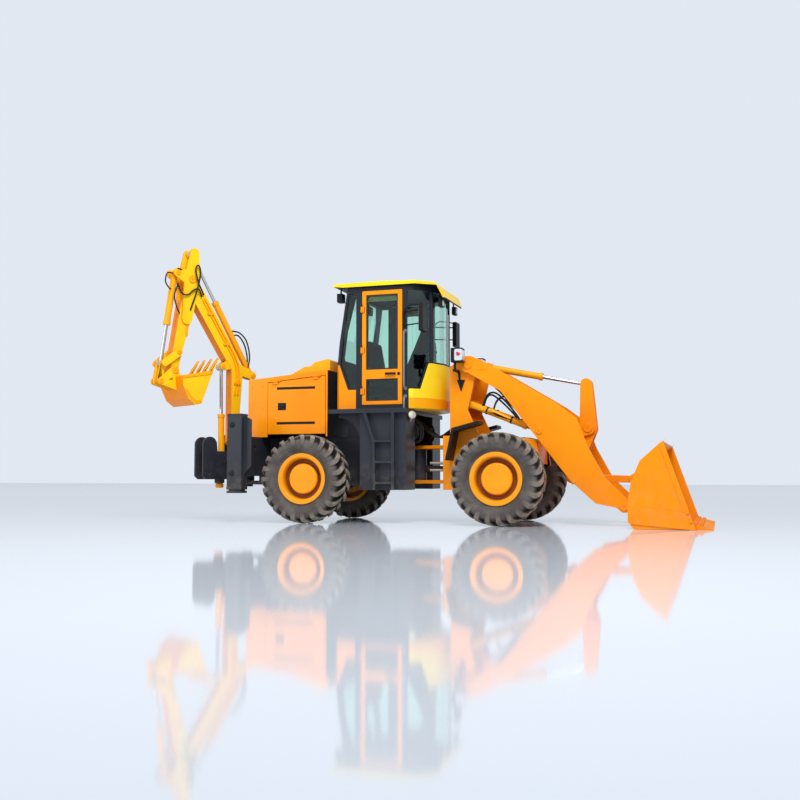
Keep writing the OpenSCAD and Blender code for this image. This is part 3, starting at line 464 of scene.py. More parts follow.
tread = tyre_mesh()
for end, reach in (("front", axle_reach), ("rear", -axle_reach)):
    for side, hand in both_sides:
        wheel = end + "_" + side
        centre = (reach, hand * half_track, axle_height)
        mesh = tread.copy()
        if hand < 0:
            mesh.transform(Matrix.Rotation(math.pi, 4, "Z"))
        mesh.transform(Matrix.Translation(centre))
        tyre = bpy.data.objects.new("tyre_" + wheel + "_tread", mesh)
        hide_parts("tyre_" + wheel)
        dress(tyre, tyre_rubber("tyre_rubber_" + wheel, centre), "wheel_" + wheel)
        rim_paint = wheel_paint("rim_paint_" + wheel, centre, hand)
        softened("rim_" + wheel, rim_paint, 0.006)


# Engine hood
# Pressed sheet hood over the engine, with two side doors on piano hinges. Each door has two
# long finger slots and a black latch, and the rear wall a slatted grille and two red lamps.
amber = paint("amber_paint", (252, 176, 14), (244, 148, 4))
black_plastic = paint(
    "black_plastic", (26, 26, 28), (17, 17, 19), rough=0.42, coat=0, dust=0.15
)
hood_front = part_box("hood")[1].x
hood_rear = -2.270
hood_face = 0.660


def front_wall(normals, centres):
    """The wall of the hood that faces the cab."""
    return (normals[:, 0] > 0.5) & (centres[:, 0] > hood_front - 0.001)


def shaded_slot_floors(normals, centres):
    """Faces in a door's finger slots and latch hole, sunk behind its outer face. They take black
    as painted shade.
    """
    x, y, z = centres.T
    sunk = (np.abs(y) < hood_face - 0.0005) & (np.abs(y) > hood_face - 0.015)
    return sunk & (z < 1.87) & (x > -1.845) & (x < -1.26)


softened("hood", orange, 0.008, 2, black_plastic, front_wall)
# The floors of the doors' slots and latch hole take black, as painted shade.
for side, hand in both_sides:
    softened("hood_door_" + side, orange, 0.004, 2, black_plastic, shaded_slot_floors)
softened("intake_cover", amber, 0.012)


def plate(outline, y0, y1):
    """Points and faces of a closed X-Z outline given a thickness along Y."""
    flat = np.array(outline, float)
    n = len(flat)
    sides = [np.stack([flat[:, 0], np.full(n, y), flat[:, 1]], 1) for y in (y0, y1)]
    k = np.arange(n)
    walls = np.stack([k, k + n, (k + 1) % n + n, (k + 1) % n], 1).tolist()
    return np.concatenate(sides), [list(range(n)), list(range(2 * n - 1, n - 1, -1))] + walls


def block(low, high):
    """Points and faces of a straight block."""
    (x0, y0, z0), (x1, y1, z1) = low, high
    return plate([(x0, z0), (x1, z0), (x1, z1), (x0, z1)], y0, y1)


def layer(hand, inner, outer):
    """Lowest and highest Y of a layer on one side of the machine."""
    return sorted((hand * inner, hand * outer))


def turned(profile, at, along, sides=24):
    """A profile of (radius, height) pairs turned about a line through a point."""
    axis = Vector(along).normalized()
    across = axis.orthogonal().normalized()
    third = axis.cross(across)
    radius, height = np.array(profile, float).T
    spin = np.arange(sides)[:, None] * 2 * np.pi / sides
    ring = np.cos(spin) * np.array(across) + np.sin(spin) * np.array(third)
    middle = np.array(at) + height[:, None] * np.array(axis)
    points = middle + radius[None, :, None] * ring[:, None, :]
    return points.reshape(-1, 3), grid_faces(sides, len(radius), True, False)


def disc(radius, low, high):
    """Profile of a plain round disc, for turned."""
    return [(0, low), (radius, low), (radius, high), (0, high)]


def bolt(at, along, across, height):
    """Hexagon head on a round washer."""
    r = across / 2
    head = [(0, 0.002), (r * 1.12, 0.002), (r * 1.12, height * 0.85), (r * 0.9, height),
            (0, height)]
    return [turned(disc(r * 1.35, 0, 0.003), at, along, 16), turned(head, at, along, 6)]


def made_of(name, shapes, finish, body, edge=0.0):
    """One piece from several shapes, each its points and faces: doubles merged, normals
    outwards, and edges of more than 35 degrees kept sharp or rounded."""
    points, faces = [], []
    for shape_points, shape_faces in shapes:
        faces += [[len(points) + int(corner) for corner in face] for face in shape_faces]
        points += shape_points.tolist()
    mesh = bpy.data.meshes.new(name)
    mesh.from_pydata(points, [], faces)
    work = bmesh.new()
    work.from_mesh(mesh)
    bmesh.ops.remove_doubles(work, verts=work.verts, dist=1e-6)
    bmesh.ops.recalc_face_normals(work, faces=work.faces)
    for face in work.faces:
        face.smooth = True
    work.to_mesh(mesh)
    work.free()
    mesh.set_sharp_from_angle(angle=math.radians(35))
    made = bpy.data.objects.new(name, mesh)
    if edge:
        bevel = made.modifiers.new("edges", "BEVEL")
        bevel.width = edge
        bevel.segments = 2
        bevel.limit_method = "ANGLE"
        bevel.angle_limit = math.radians(35)
    return dress(made, finish, body)


def even(name, colour, rough, span, grain, detail=3, **others):
    """A finish of one colour whose roughness rises by up to span on a noise."""
    finish = Finish(name)
    roughness = rough + finish.noise(grain, detail) * span
    return finish.surface(Base_Color=linear(*colour), Roughness=roughness, **others)


zinc = even("bright_zinc", (176, 172, 160), 0.35, 0.2, 60, Metallic=0.9)
latch_knob = [(0, 0), (0.020, 0), (0.022, 0.006), (0.018, 0.012), (0, 0.012)]
for side, hand in both_sides:
    x0, x1, z0, z1 = -1.818, -1.697, 1.521, 1.620
    tray = [(x0 + 0.012, z0 + 0.03), (x1 - 0.03, z0 + 0.03), (x1 - 0.03, z1 - 0.03),
            (x0 + 0.012, z1 - 0.03)]
    latch = [
        turned(latch_knob, (-1.735, hand * (hood_face + 0.014), 1.57), (0, hand, 0)),
        plate([(x0, z0), (x1, z0), (x1, z1), (x0, z1)], hand * hood_face, hand * 0.666),
        plate(tray, hand * hood_face, hand * 0.676),
    ]
    body = "hood_door_" + side
    made_of("hood_latch_" + side, latch, black_plastic, body, 0.002)

grille_half, grille_low, grille_high = 0.412, 1.325, 1.845
slat = np.array([(-0.012, -0.012), (-0.016, -0.010), (0.002, 0.016), (0.004, 0.012)])
grille = [plate(slat + (hood_rear, 1.36 + 0.045 * k), -0.40, 0.40) for k in range(11)]
x0, x1, wide = hood_rear - 0.016, hood_rear + 0.003, 0.012
for y in (-grille_half, 0, grille_half):
    grille.append(block((x0, y - wide, grille_low), (x1, y + wide, grille_high)))
for z in (grille_low, grille_high):
    out = grille_half + wide
    grille.append(block((x0, -out, z - wide), (x1, out, z + wide)))
made_of("rear_grille", grille, black_plastic, "rear_chassis", 0.001)

tail_red = even("tail_red", (176, 20, 16), 0.2, 0.05, 20, 2, Coat_Weight=0.5)
tail_lens = [(0, -0.003), (0.045, -0.003), (0.045, 0.010), (0.036, 0.018), (0, 0.020)]
tails = [turned(tail_lens, (hood_rear, hand * 0.53, 1.42), (-1, 0, 0), 28) for hand in (-1, 1)]
made_of("tail_lamps", tails, tail_red, "rear_chassis", 0.001)

hood_bolts = []
for hand in (-1, 1):
    for x in (-2.20, -2.05):
        for z in (1.22, 1.55, 1.86):
            hood_bolts += bolt((x, hand * hood_face, z), (0, hand, 0), 0.018, 0.006)
made_of("hood_bolts", hood_bolts, orange, "rear_chassis", 0.0005)


# Cab
# Welded charcoal cab with an orange door frame on each side, a yellow front cowl and a yellow
# roof sheet that droops at the front. Everything that faces the driver is lined in black.
def faces_driver(normals, centres):
    """Faces whose normal points to the middle of the cab."""
    middle = np.array([-0.3, 0])
    return (normals[:, :2] * (centres[:, :2] - middle)).sum(1) < -0.05


def roof_paint():
    """Yellow roof paint that turns black more than three centimetres behind the visor's face,
    which is the plane through the visor's top edge with the normal (0.838, 0, 0.548)."""
    finish = Finish("roof_paint")
    x, y, z = finish.axes((0.380, 0, 3.186))
    behind = (x * 0.838 + z * 0.548) * -1
    lined = behind.step(0.030, 0.032) * x.step(0.0, 0.002)
    clouded = finish.noise(1.3, 4).step(0.35, 0.7) * 0.6
    body = finish.mix(clouded, linear(255, 214, 34), linear(252, 190, 14))
    return finish.surface(
        Base_Color=finish.mix(lined, body, linear(24, 24, 27)),
        Roughness=0.3 + lined * 0.15,
        Specular_IOR_Level=0.15,
        Normal=finish.height(finish.noise(260, 2), 0.10, 0.0005),
    )


def underside(normals, centres):
    """Faces that look down."""
    return normals[:, 2] < -0.3


cab_dark = paint("cab_paint", (34, 38, 47), (24, 27, 35), rough=0.32, coat=0.15, dust=0.1)
cowl_paint = paint("cowl_paint", (255, 222, 40), (252, 204, 22))
softened("cab_frame", cab_dark, 0.005, 2, black_plastic, faces_driver)
softened("cab_roof", roof_paint(), 0.006, 2, black_plastic, underside)
softened("cab_cowl", cowl_paint, 0.014, 3, black_plastic, faces_driver)
softened("cab_rear_panels", orange, 0.006, 2, black_plastic, faces_driver)
for side, hand in both_sides:
    softened("cab_door_" + side, orange, 0.005, 2, black_plastic, faces_driver)
for node in ("steering_console", "mirrors", "work_lamps", "headlamps", "front_mudguards"):
    softened(node, black_plastic, 0.006, 3)


def band(path, z0, z1, out):
    """A strip that follows a plan path, standing out from it, with closed ends."""
    path = np.asarray(path, float)
    along = np.gradient(path, axis=0)
    away = np.stack([along[:, 1], -along[:, 0]], 1)
    away /= np.linalg.norm(away, axis=1)[:, None]
    inner, outer = path - away * 0.004, path + away * out
    loops = [(inner, z0), (inner, z1), (outer, z1), (outer, z0)]
    rings = np.stack([np.column_stack([p, np.full(len(p), z)]) for p, z in loops], 1)
    last = 4 * (len(path) - 1)
    caps = [[3, 2, 1, 0], [last, last + 1, last + 2, last + 3]]
    return rings.reshape(-1, 3), grid_faces(len(path), 4, False, True).tolist() + caps


# The amber of the raised skirt is painted shade on the cowl's lower part, and the thin orange
# strip above it is a painted shadow line for the crease.
cowl_half = np.array([(0.415, 0.15), (0.33, 0.43), (0.13, 0.68), (0.072, 0.6905)])
cowl_path = np.concatenate([cowl_half[::-1] * (1, -1), cowl_half])
skirt = band(cowl_path, 1.508, 1.635, 0.007)
crease_shade = band(cowl_path, 1.637, 1.644, 0.003)
made_of("cowl_skirt", [skirt], amber, "rear_chassis", 0.003)
made_of("cowl_crease_shade", [crease_shade], orange, "rear_chassis", 0.001)


# Doors, rails and mirrors
# Each door holds two panes in rubber seals, a sun film on the upper one, and a pull handle with
# its lock. Grey grab rails are bolted ahead of it, and the mirror hangs on a bent bracket.
def tube(path, radius, sides=10, steps=8):
    """Round bar or hose along a smooth curve (Catmull-Rom) through the given points, ends
    closed. The ring at each station stands square to the curve."""
    path = np.asarray(path, float)
    ends = np.concatenate([[2 * path[0] - path[1]], path, [2 * path[-1] - path[-2]]])
    before, here, there, after = (ends[k:len(path) - 1 + k, None] for k in range(4))
    t = (np.arange(steps) / steps)[None, :, None]
    curve = 0.5 * (2 * here + (there - before) * t
                   + (2 * before - 5 * here + 4 * there - after) * t ** 2
                   + (3 * here - before - 3 * there + after) * t ** 3)
    curve = np.concatenate([curve.reshape(-1, 3), path[-1:]])
    along = np.gradient(curve, axis=0)
    along /= np.linalg.norm(along, axis=1)[:, None]
    flat = np.linalg.svd(along)[2][2]
    side = np.cross(along, flat)
    side /= np.linalg.norm(side, axis=1)[:, None]
    up = np.cross(along, side)
    spin = np.arange(sides)[None, :, None] * 2 * np.pi / sides
    rings = curve[:, None] + radius * (np.cos(spin) * side[:, None] + np.sin(spin) * up[:, None])
    first, last = (np.repeat(curve[k][None, None], sides, 1) for k in (0, -1))
    points = np.concatenate([first, rings, last])
    return points.reshape(-1, 3), grid_faces(len(points), sides, False, True)


def rounded(x0, x1, z0, z1, radius):
    """Corner points of a rectangle whose corners are quarter circles."""
    quarter = np.radians(np.linspace(0, 90, 6))
    out = []
    for x, z, turn in ((x1, z1, 0), (x0, z1, 90), (x0, z0, 180), (x1, z0, 270)):
        cx = x - radius if x == x1 else x + radius
        cz = z - radius if z == z1 else z + radius
        angle = quarter + math.radians(turn)
        out.append(np.stack([cx + radius * np.cos(angle), cz + radius * np.sin(angle)], 1))
    return np.concatenate(out)


def seal(x0, x1, z0, z1, y0, y1, width, radius):
    """Rubber frame round an opening in the X-Z plane, square outside and rounded inside."""
    outer = rounded(x0, x1, z0, z1, 0.004)
    inner = rounded(x0 + width, x1 - width, z0 + width, z1 - width, radius)
    loops = [(outer, y0), (outer, y1), (inner, y1), (inner, y0)]
    points = np.stack([np.stack([o[:, 0], np.full(len(o), y), o[:, 1]], 1) for o, y in loops])
    return points.reshape(-1, 3), grid_faces(4, len(outer), True, True)


rubber_seal = even("rubber_seal", (16, 17, 19), 0.55, 0.15, 40)
steel_bar = paint("grey_bar", (120, 124, 130), (96, 100, 106), coat=0.1, dust=0)
sun_film = Finish("visor_film").surface(
    Base_Color=linear(112, 110, 40), Roughness=0.35, Coat_Weight=0.3
)
opening_rear, opening_front = -0.521, -0.074
openings = ((1.610, 1.907), (2.028, 3.037))
post = 0.030
post_face = 0.697
for side, hand in both_sides:
    door = "cab_door_" + side
    seals = [seal(opening_rear, opening_front, low, high, *layer(hand, 0.655, 0.694), 0.02, 0.03)
             for low, high in openings]
    made_of("door_seals_" + side, seals, rubber_seal, door, 0.003)
    film = plate(rounded(-0.505, -0.09, 2.945, 3.02, 0.012), *layer(hand, 0.6685, 0.6745))
    made_of("visor_film_" + side, [film], sun_film, door, 0.001)

    grip = plate(rounded(-0.245, -0.095, 1.954, 1.982, 0.012), *layer(hand, 0.722, 0.738))
    stud = [(0, 0), (0.012, 0), (0.010, 0.026), (0, 0.026)]
    lock = [(0, 0), (0.020, 0), (0.020, 0.010), (0.012, 0.014), (0, 0.014)]
    handle = [grip]
    handle += [turned(stud, (x, hand * 0.699, 1.968), (0, hand, 0), 16) for x in (-0.225, -0.115)]
    handle.append(turned(lock, (-0.062, hand * 0.699, 1.968), (0, hand, 0)))
    made_of("door_handle_" + side, handle, black_plastic, door, 0.002)

    long_rail = [(0.692, 2.530), (0.745, 2.515), (0.765, 2.47), (0.765, 2.15), (0.765, 1.83),
                 (0.745, 1.785), (0.692, 1.77)]
    rails = [
        tube([(post, hand * y, z) for y, z in long_rail], 0.012),
        tube([(post, hand * 0.692, 1.665), (post, hand * 0.745, 1.655),
              (0.035, hand * 0.78, 1.60), (0.035, hand * 0.78, 1.50)], 0.013),
    ]
    for z in (2.530, 1.77, 1.665):
        foot = (post, hand * post_face, z)
        rails.append(turned(disc(0.024, 0, 0.006), foot, (0, hand, 0), 16))
    made_of("grab_rail_" + side, rails, steel_bar, "rear_chassis")

    bracket = tube([(0.30, hand * 0.84, 2.80), (0.26, hand * 0.82, 2.845),
                    (0.10, hand * 0.745, 2.86), (0.025, hand * 0.712, 2.80)], 0.008)
    knuckle = turned([(0, -0.03), (0.018, -0.03), (0.022, 0), (0.018, 0.03), (0, 0.03)],
                     (0.282, hand * 0.84, 2.78), (0, 0, 1), 16)
    mirror_arm = [bracket, knuckle]
    made_of("mirror_loop_" + side, mirror_arm, black_plastic, "rear_chassis")

mirror_glass = even("mirror_glass", (190, 200, 208), 0.05, 0.03, 8, Metallic=1.0)
lamp_glass = even("lamp_glass", (196, 202, 206), 0.1, 0.05, 20, 2, Coat_Weight=0.5)
lens_profile = [(0, -0.002), (0.044, -0.002), (0.044, 0.002), (0.036, 0.007), (0.018, 0.0105),
                (0, 0.0115)]
mirror_y, mirror_half = 0.85, 0.085
for side, hand in both_sides:
    y0, y1 = hand * mirror_y - mirror_half, hand * mirror_y + mirror_half
    points, faces = plate(rounded(y0, y1, 2.505, 2.835, 0.03), 0.281, 0.2845)
    upright = points[:, [1, 0, 2]], faces
    made_of("mirror_glass_" + side, [upright], mirror_glass, "rear_chassis")
    lenses = [
        turned(lens_profile, (-0.975, hand * 0.56, 3.035), (-1, 0, 0)),
        turned(lens_profile, (0.451, hand * 0.35, 2.935), (1, 0, 0)),
    ]
    made_of("work_lenses_" + side, lenses, lamp_glass, "rear_chassis")

# Headlamps
# Black housings on brackets beside the towers. A clear lens wraps the front corner and a red
# lamp sits on the outer side.
signal_red = even("signal_red", (205, 30, 22), 0.2, 0.05, 20, 2, Coat_Weight=0.5)
headlamp_bowl = [(0, -0.004), (0.062, -0.004), (0.062, 0.004), (0.05, 0.012), (0.025, 0.018),
                 (0, 0.0195)]
signal_lens = [(0, -0.002), (0.028, -0.002), (0.028, 0.002), (0.02, 0.007), (0, 0.008)]
for side, hand in both_sides:
    clear = plate(rounded(0.690, 0.794, 2.112, 2.262, 0.02), *layer(hand, 0.526, 0.694))
    bowl = turned(headlamp_bowl, (0.792, hand * 0.61, 2.187), (1, 0, 0), 32)
    lens_parts = [clear, bowl]
    made_of("headlamp_lens_" + side, lens_parts, lamp_glass, "front_chassis", 0.008)
    signal = turned(signal_lens, (0.742, hand * 0.694, 2.20), (0, hand, 0))
    made_of("headlamp_signal_" + side, [signal], signal_red, "front_chassis")

# Joint between the frames
# Hose bundles loop through the joint above the drive shaft, whose two halves meet at a cross
# joint under the frame pin. Beside them are the steering cylinders' rods and the tank's filler.
hose_rubber = even("hose_rubber", (20, 20, 21), 0.5, 0.2, 30, Specular_IOR_Level=0.4)
bundle = []
for k in range(7):
    y = -0.105 + 0.035 * k
    sway = 0.02 * math.sin(2.4 * k)
    bundle.append(tube([
        (-0.06, y * 0.6, 1.40), (0.03, y * 0.8, 1.33 + sway), (0.16, y, 1.22 + sway),
        (0.30, y + sway, 1.15), (0.43, y, 1.20 + sway), (0.56, y, 1.32)
    ], 0.014))
made_of("joint_hoses", bundle, hose_rubber, "front_chassis")
valves = []
for y, x, low in ((-0.38, 0.06, 1.12), (-0.345, 0.10, 1.08), (-0.31, 0.12, 1.10),
                  (-0.275, 0.06, 1.15), (0.31, 0.10, 1.10), (0.36, 0.06, 1.14)):
    valves.append(tube([
        (-0.02, y, 1.43), (x - 0.04, y, 1.37), (x + 0.03, y * 0.97, 1.25), (x, y * 0.94, low),
        (-0.03, y * 0.9, 1.09)
    ], 0.015))
for y, z in ((-0.30, 1.30), (-0.34, 1.22), (0.30, 1.26)):
    valves.append(block((0.0, y - 0.035, z - 0.05), (0.10, y + 0.035, z + 0.05)))
made_of("valves_and_hoses", valves, hose_rubber, "rear_chassis", 0.004)

shaft_height = 0.72
shaft_profile = [(0, 0.05), (0.035, 0.05), (0.052, 0.09), (0.052, 0.16), (0.038, 0.17),
                 (0.038, 0.9), (0.06, 0.92), (0.06, 1.12), (0, 1.12)]
for end, ahead in (("front", 1), ("rear", -1)):
    shaft = turned(shaft_profile, (0, 0, shaft_height), (ahead, 0, 0), 20)
    made_of("drive_shaft_" + end, [shaft], black_iron, end + "_chassis")
steering_rod = [(0, 0), (0.017, 0), (0.017, 0.22), (0.03, 0.225), (0.03, 0.26), (0, 0.26)]
for side, hand in both_sides:
    rods = [turned(steering_rod, (0.235, hand * 0.24, z), (1, 0, 0), 16) for z in (0.70, 0.795)]
    made_of("steering_rods_" + side, rods, zinc, "front_chassis")
filler_cap = [(0, 0), (0.030, 0), (0.030, 0.03), (0.055, 0.035), (0.055, 0.055), (0.048, 0.062),
              (0.020, 0.064), (0, 0.066)]
filler = [
    turned(filler_cap, (0.105, -0.70, 1.40), (0.55, -0.75, 0.3), 28),
    tube([(0.04, -0.62, 1.33), (0.08, -0.66, 1.35), (0.11, -0.705, 1.402)], 0.028, 14),
]
made_of("tank_filler", filler, zinc, "rear_chassis")

# Seat
# Sprung steel pan with a stuffed cushion and backrest, welted round their edges and stitched
# into grooves, in black cloth.
seat_cloth = paint("seat_cloth", (30, 30, 33), (22, 22, 24), rough=0.9, coat=0, dust=0)
softened("seat", seat_cloth, 0.02, 3)


def cushion(half_length, half_width, thickness):
    """A stuffed pad, lying flat: its outline is a superellipse, its top a crown that is full in
    the middle and falls to a welted edge, with two stitched grooves along it and one across."""
    u, v = np.meshgrid(
        np.linspace(0, 1, 22), np.linspace(0, 2 * np.pi, 64, endpoint=False), indexing="ij"
    )
    x = half_length * u * np.sign(np.cos(v)) * np.abs(np.cos(v)) ** 0.35
    y = half_width * u * np.sign(np.sin(v)) * np.abs(np.sin(v)) ** 0.35
    crown = thickness * (1 - u ** 5) ** 0.5 * (0.82 + 0.18 * np.cos(np.pi * u / 2))
    along = np.exp(-((np.abs(y) - 0.5 * half_width) / 0.012) ** 2)
    across = np.exp(-(x / 0.012) ** 2) * 0.7
    crown -= 0.012 * (along + across) * (1 - u ** 4)
    top = np.stack([x, y, crown], -1).reshape(-1, 3)
    under = np.stack([x, y, -0.25 * thickness * (1 - u ** 6)], -1)[::-1].reshape(-1, 3)
    return np.concatenate([top, under]), grid_faces(44, 64, False, True)


def laid(shape, at, tilt):
    """A flat shape turned about the Y axis and moved to its place."""
    points, faces = shape
    c, s = math.cos(tilt), math.sin(tilt)
    x, y, z = points.T
    return np.stack([x * c + z * s, y, z * c - x * s], 1) + np.array(at), faces


pads = {
    "seat_cushion": laid(cushion(0.20, 0.222, 0.035), (-0.352, 0, 1.942), math.radians(-4)),
    "seat_back": laid(cushion(0.235, 0.215, 0.045), (-0.590, 0, 2.215), math.radians(79)),
}
for name, pad in pads.items():
    made_of(name, [pad], seat_cloth, "rear_chassis")


# Cab glass
# Green-tinted safety glass, a little dusty, bonded or sealed into the cab and its doors. Its
# panes keep the shape that they have in CAD.
def refinish(node, finish):
    """Gives a CAD piece whose shape stays a better finish."""
    slots = frame["nodes"][node].data.materials
    slots.clear()
    slots.append(finish)


tinted = Finish("cab_glass")
film_share = tinted.noise(3, 5).step(0.4, 0.8) * 0.3
tinted_glass = tinted.surface(
    Base_Color=tinted.mix(film_share, linear(214, 246, 234), linear(225, 243, 236)),
    Roughness=0.01, Transmission_Weight=1.0, IOR=1.45,
)
for node in ("cab_glass", "door_glass_right", "door_glass_left"):
    refinish(node, tinted_glass)

# Loader
# Two flat boomerang arms of thick plate with a cross tube between them, the rocker with its
# link, and the bucket with its bolted cutting edge. Greased pins join them.
for node, edge in (("loader_arms", 0.004), ("loader_rocker", 0.006), ("loader_link", 0.006)):
    softened(node, orange, edge)
softened("loader_bucket", orange, 0.003, joined=False)


def pin_cap(at, hand, radius):
    """Round head of a pin with its dished end and a grease nipple."""
    head = [(0, -0.003), (radius, -0.003), (radius, 0.008), (radius - 0.005, 0.013),
            (0.3 * radius, 0.013), (0.3 * radius, 0.010), (0, 0.010)]
    nipple = [(0, 0.008), (0.007, 0.008), (0.007, 0.016), (0.004, 0.022), (0, 0.022)]
    return [turned(head, at, (0, hand, 0), 32), turned(nipple, at, (0, hand, 0), 10)]


arm_face = 0.50
hose_port = [(0, 0), (0.035, 0), (0.035, 0.05), (0.028, 0.055), (0, 0.055)]
tower_pins, arm_details, arm_hoses, lift_hoses = [], [], [], []
barrel_foot, barrel_slope = np.array([0.73, 1.60]), np.array([1.02, -0.403])
collar = [(0.0445, -0.012), (0.050, -0.012), (0.050, 0.012), (0.0445, 0.012)]
for hand in (-1, 1):
    tower_pins += pin_cap((0.82, hand * arm_face, 2.08), hand, 0.062)
    arm_details += pin_cap((2.80, hand * arm_face, 0.25), hand, 0.060)
    arm_details += pin_cap((2.32, hand * 0.135, 1.24), hand, 0.060)
    arm_details += pin_cap((1.75, hand * arm_face, 1.197), hand, 0.045)
    arm_details.append(turned(hose_port, (2.16, hand * 0.48, 0.575), (0.55, 0, -0.83), 20))
    guard = rounded(0.93, 1.08, 2.00, 2.035, 0.015)
    arm_details.append(plate(guard, *layer(hand, 0.499, 0.506)))
    for k in range(4):
        y = hand * (0.14 + 0.028 * k)
        arm_hoses.append(tube([
            (1.02, y * 0.7, 1.93), (1.12, y, 1.80), (1.30, y, 1.60 + 0.01 * k),
            (1.55, y, 1.345), (1.78, y, 1.18), (1.93, y, 1.13)
        ], 0.013))
    y = hand * 0.33
    lift_hoses.append(tube([
        (0.98, y, 1.545), (1.01, y, 1.62), (1.07, y + hand * 0.02, 1.70),
        (1.17, y + hand * 0.02, 1.70), (1.30, y + hand * 0.01, 1.58), (1.42, y, 1.43),
        (1.47, y, 1.355)
    ], 0.012))
    y = hand * 0.30
    lift_hoses.append(tube([
        (0.99, y, 1.545), (1.03, y, 1.65), (1.10, y, 1.685), (1.22, y, 1.60),
        (1.36, y, 1.46), (1.43, y, 1.375)
    ], 0.012))
    for share in (0.30, 0.62):
        x, z = barrel_foot + share * barrel_slope
        lift_hoses.append(turned(collar, (x, y, z), (barrel_slope[0], 0, barrel_slope[1]), 28))
made_of("arm_pin_caps", tower_pins, orange, "front_chassis", 0.0015)
made_of("arm_details", arm_details, orange, "loader_arms", 0.002)
made_of("arm_hoses", arm_hoses, hose_rubber, "loader_arms")
made_of("lift_hoses", lift_hoses, hose_rubber, "lift_barrels")

bucket_bolts = []
edge_fall = 0.239
edge_up = Vector((0.055, 0, 0.23))
for k in range(8):
    y = -1.01 + k * 2.02 / 7
    for x in (3.655, 3.715):
        bucket_bolts += bolt((x, y, 0.0705 - (x - 3.62) * edge_fall), edge_up, 0.036, 0.018)
for hand in (-1, 1):
    for x, z in ((3.60, 0.10), (3.565, 0.20)):
        bucket_bolts += bolt((x, hand * 1.134, z), (0, hand, 0), 0.034, 0.016)
made_of("bucket_bolts", bucket_bolts, orange, "loader_bucket", 0.001)


# Backhoe
# A bent box-section boom, a stick and a four-toothed digging bucket, welded from plate and
# joined by greased pins. Steel pipes are clamped along the boom, and rubber hoses bridge the
# joints.
def outward(normals, centres):
    """Faces that look away from the machine, along the backhoe's own plane. On the yellow parts
    they take orange as painted shade.
    """
    return normals[:, 0] * -0.5 + normals[:, 1] * -0.866 > 0.25


yellow = paint("yellow_paint", (255, 208, 26), (250, 182, 8))
# The yellow boom, stick, bucket and links turn orange on their outward faces, as painted shade.
for node in ("hoe_boom", "hoe_stick", "hoe_bucket", "hoe_lever", "hoe_link"):
    softened(node, yellow, 0.004, 2, orange, outward, joined=node != "hoe_stick")

hoe_turn = math.radians(240)
hoe_x = -2.6


def hoe(shape):
    """From the backhoe's own plane, outwards, sideways and up, to the machine's axes."""
    points, faces = shape
    x, y, z = points.T
    c, s = math.cos(hoe_turn), math.sin(hoe_turn)
    return np.stack([x * c - y * s + hoe_x, x * s + y * c, z], 1), faces


def hoe_plates(outline, inner, outer):
    """The same plate on both sides of the backhoe."""
    return [hoe(plate(outline, *layer(hand, inner, outer))) for hand in (-1, 1)]


def hoe_pins(table):
    """Pin heads on both sides of the backhoe: outwards, up, half width, radius."""
    shapes = []
    for x, z, half, radius in table:
        for hand in (-1, 1):
            shapes += pin_cap((x, hand * half, z), hand, radius)
    return [hoe(shape) for shape in shapes]


post_pins = hoe_pins([(0.27, 1.12, 0.122, 0.052), (0.445, 0.80, 0.122, 0.040)])
made_of("post_pins", post_pins, black_iron, "swing_post", 0.0015)
casting = [(0, 0), (0.045, 0), (0.058, 0.012), (0.058, 0.05), (0.045, 0.06), (0.045, 0.085),
           (0.062, 0.095), (0.062, 0.125), (0, 0.125)]
casting = hoe(turned(casting, (0.47, 0, 0.455), (0, 0, 1), 28))
made_of("post_casting", [casting], orange, "swing_post", 0.002)

boom_details = hoe_pins([(-0.03, 2.08, 0.0695, 0.036), (0.47, 2.18, 0.0695, 0.036)])
for hand in (-1, 1):
    for shift in (0, 0.045):
        side, above = hand * 0.087, shift * 0.4
        pipe = [(0.285 - shift, side, 1.78), (0.265 - shift, side, 2.10),
                (0.33 - shift * 0.8, side, 2.32 + above), (0.58 - shift * 0.8, side, 2.70 + above),
                (0.84 - shift * 0.8, side, 3.10 + above)]
        boom_details.append(hoe(tube(pipe, 0.010, 10, 6)))
for x, z in ((0.245, 1.95), (0.43, 2.50), (0.70, 2.91)):
    clamp = rounded(x - 0.045, x + 0.055, z - 0.018, z + 0.018, 0.006)
    boom_details += hoe_plates(clamp, 0.074, 0.101)
made_of("boom_details", boom_details, amber, "hoe_boom", 0.0015)

stick_details = hoe_pins([
    (1.02, 3.36, 0.108, 0.058), (1.24, 3.43, 0.108, 0.040), (1.22, 2.32, 0.137, 0.034)
])
stick_details += hoe_plates(rounded(1.06, 1.10, 2.55, 2.95, 0.015), 0.079, 0.088)
made_of("stick_details", stick_details, amber, "hoe_stick", 0.0015)

bucket_trim = hoe_pins([(1.263, 2.07, 0.110, 0.052), (1.472, 1.908, 0.110, 0.036)])
lip = [(0.800, 2.035), (0.792, 2.058), (0.830, 2.073), (1.257, 1.984), (1.254, 1.945),
       (0.850, 2.020)]
wear = [(0.965, 1.63), (1.045, 1.608), (1.160, 1.690), (1.225, 1.80), (1.195, 1.815),
        (1.135, 1.72), (1.045, 1.648), (0.985, 1.665)]
bucket_trim += hoe_plates(lip, 0.308, 0.320) + hoe_plates(wear, 0.308, 0.317)
made_of("hoe_bucket_trim", bucket_trim, amber, "hoe_bucket", 0.0015)

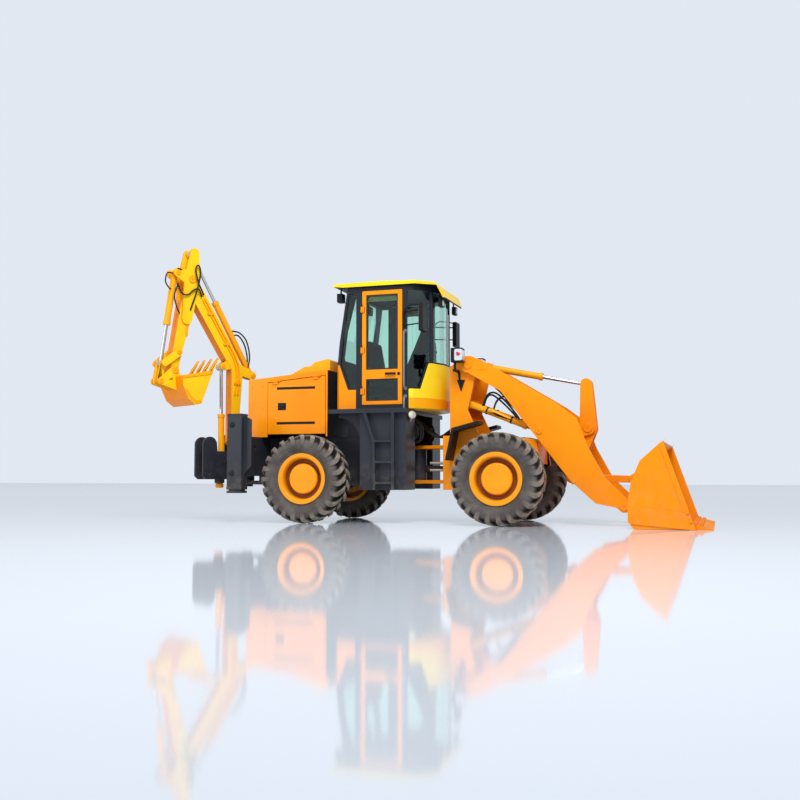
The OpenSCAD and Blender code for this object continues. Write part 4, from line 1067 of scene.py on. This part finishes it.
knee_hoses = [
    [(0.31, 0.03, 2.71), (0.20, 0.05, 2.69), (0.10, 0.06, 2.60), (0.045, 0.06, 2.46),
     (0.03, 0.06, 2.32), (0.045, 0.045, 2.20)],
    [(0.28, -0.03, 2.65), (0.17, -0.03, 2.66), (0.07, -0.03, 2.55), (0.02, -0.03, 2.40),
     (0.01, -0.03, 2.28), (0.03, -0.03, 2.18)],
]
boom_hoses = [
    [(0.86, 0.100, 3.13), (0.93, 0.13, 3.23), (1.02, 0.14, 3.20), (1.10, 0.14, 3.13),
     (1.20, 0.14, 3.14), (1.26, 0.13, 3.27)],
    [(0.83, 0.100, 3.16), (0.95, 0.15, 3.33), (0.99, 0.15, 3.50), (0.95, 0.15, 3.56),
     (0.91, 0.14, 3.46), (0.96, 0.145, 3.22), (1.05, 0.12, 2.92)],
]
stick_hoses = [
    [(1.30, 0.05, 3.42), (1.40, 0.09, 3.40), (1.43, 0.10, 3.28), (1.37, 0.09, 3.20),
     (1.31, 0.03, 3.20)],
    [(1.24, 0.11, 3.28), (1.30, 0.12, 3.10), (1.26, 0.11, 2.95), (1.20, 0.09, 2.86)],
]
for name, paths, radius, body in (
    ("knee_hoses", knee_hoses, 0.011, "stick_barrel"),
    ("boom_hoses", boom_hoses, 0.011, "hoe_boom"),
    ("stick_hoses", stick_hoses, 0.010, "curl_barrel"),
):
    hoses = [hoe(tube(path, radius)) for path in paths]
    made_of(name, hoses, hose_rubber, body)

# Stabilisers
# Box guides welded to the carrier, with a collar near the top and at the foot. Each leg hangs
# on two black pins.
leg_pin = [(0, -0.003), (0.040, -0.003), (0.040, 0.003), (0.035, 0.006), (0, 0.006)]
guide_rear, guide_front = -2.3125, -2.0925
for side, hand in both_sides:
    pins = [turned(leg_pin, (-2.235, hand * 1.190, z), (0, hand, 0), 28) for z in (0.66, 1.30)]
    made_of("stabiliser_pins_" + side, pins, black_plastic, "rear_chassis", 0.001)
    collars = []
    for z0, z1 in ((0.452, 0.478), (1.425, 1.447)):
        y0, y1 = layer(hand, 1.008, 1.1925)
        collars.append(block((guide_rear, y0, z0), (guide_front, y1, z1)))
    name = "stabiliser_collars_" + side
    made_of(name, collars, charcoal, "rear_chassis", 0.003)

# Hydraulic cylinders
# Painted steel barrels with a screwed gland, and rods of hard chrome under a faint oil film.
# An eye on each end takes the pin of the piece that it moves.
for node in ("tilt_barrel", "lift_barrels", "boom_barrel", "stick_barrel", "curl_barrel"):
    softened(node, amber, 0.003, joined=False)
rod_chrome = even("chrome_rod", (205, 208, 212), 0.12, 0.1, 14, Metallic=1.0)
for node in ("tilt_rod", "lift_rods", "boom_rod", "stick_rod", "curl_rod"):
    softened(node, rod_chrome, 0.002)
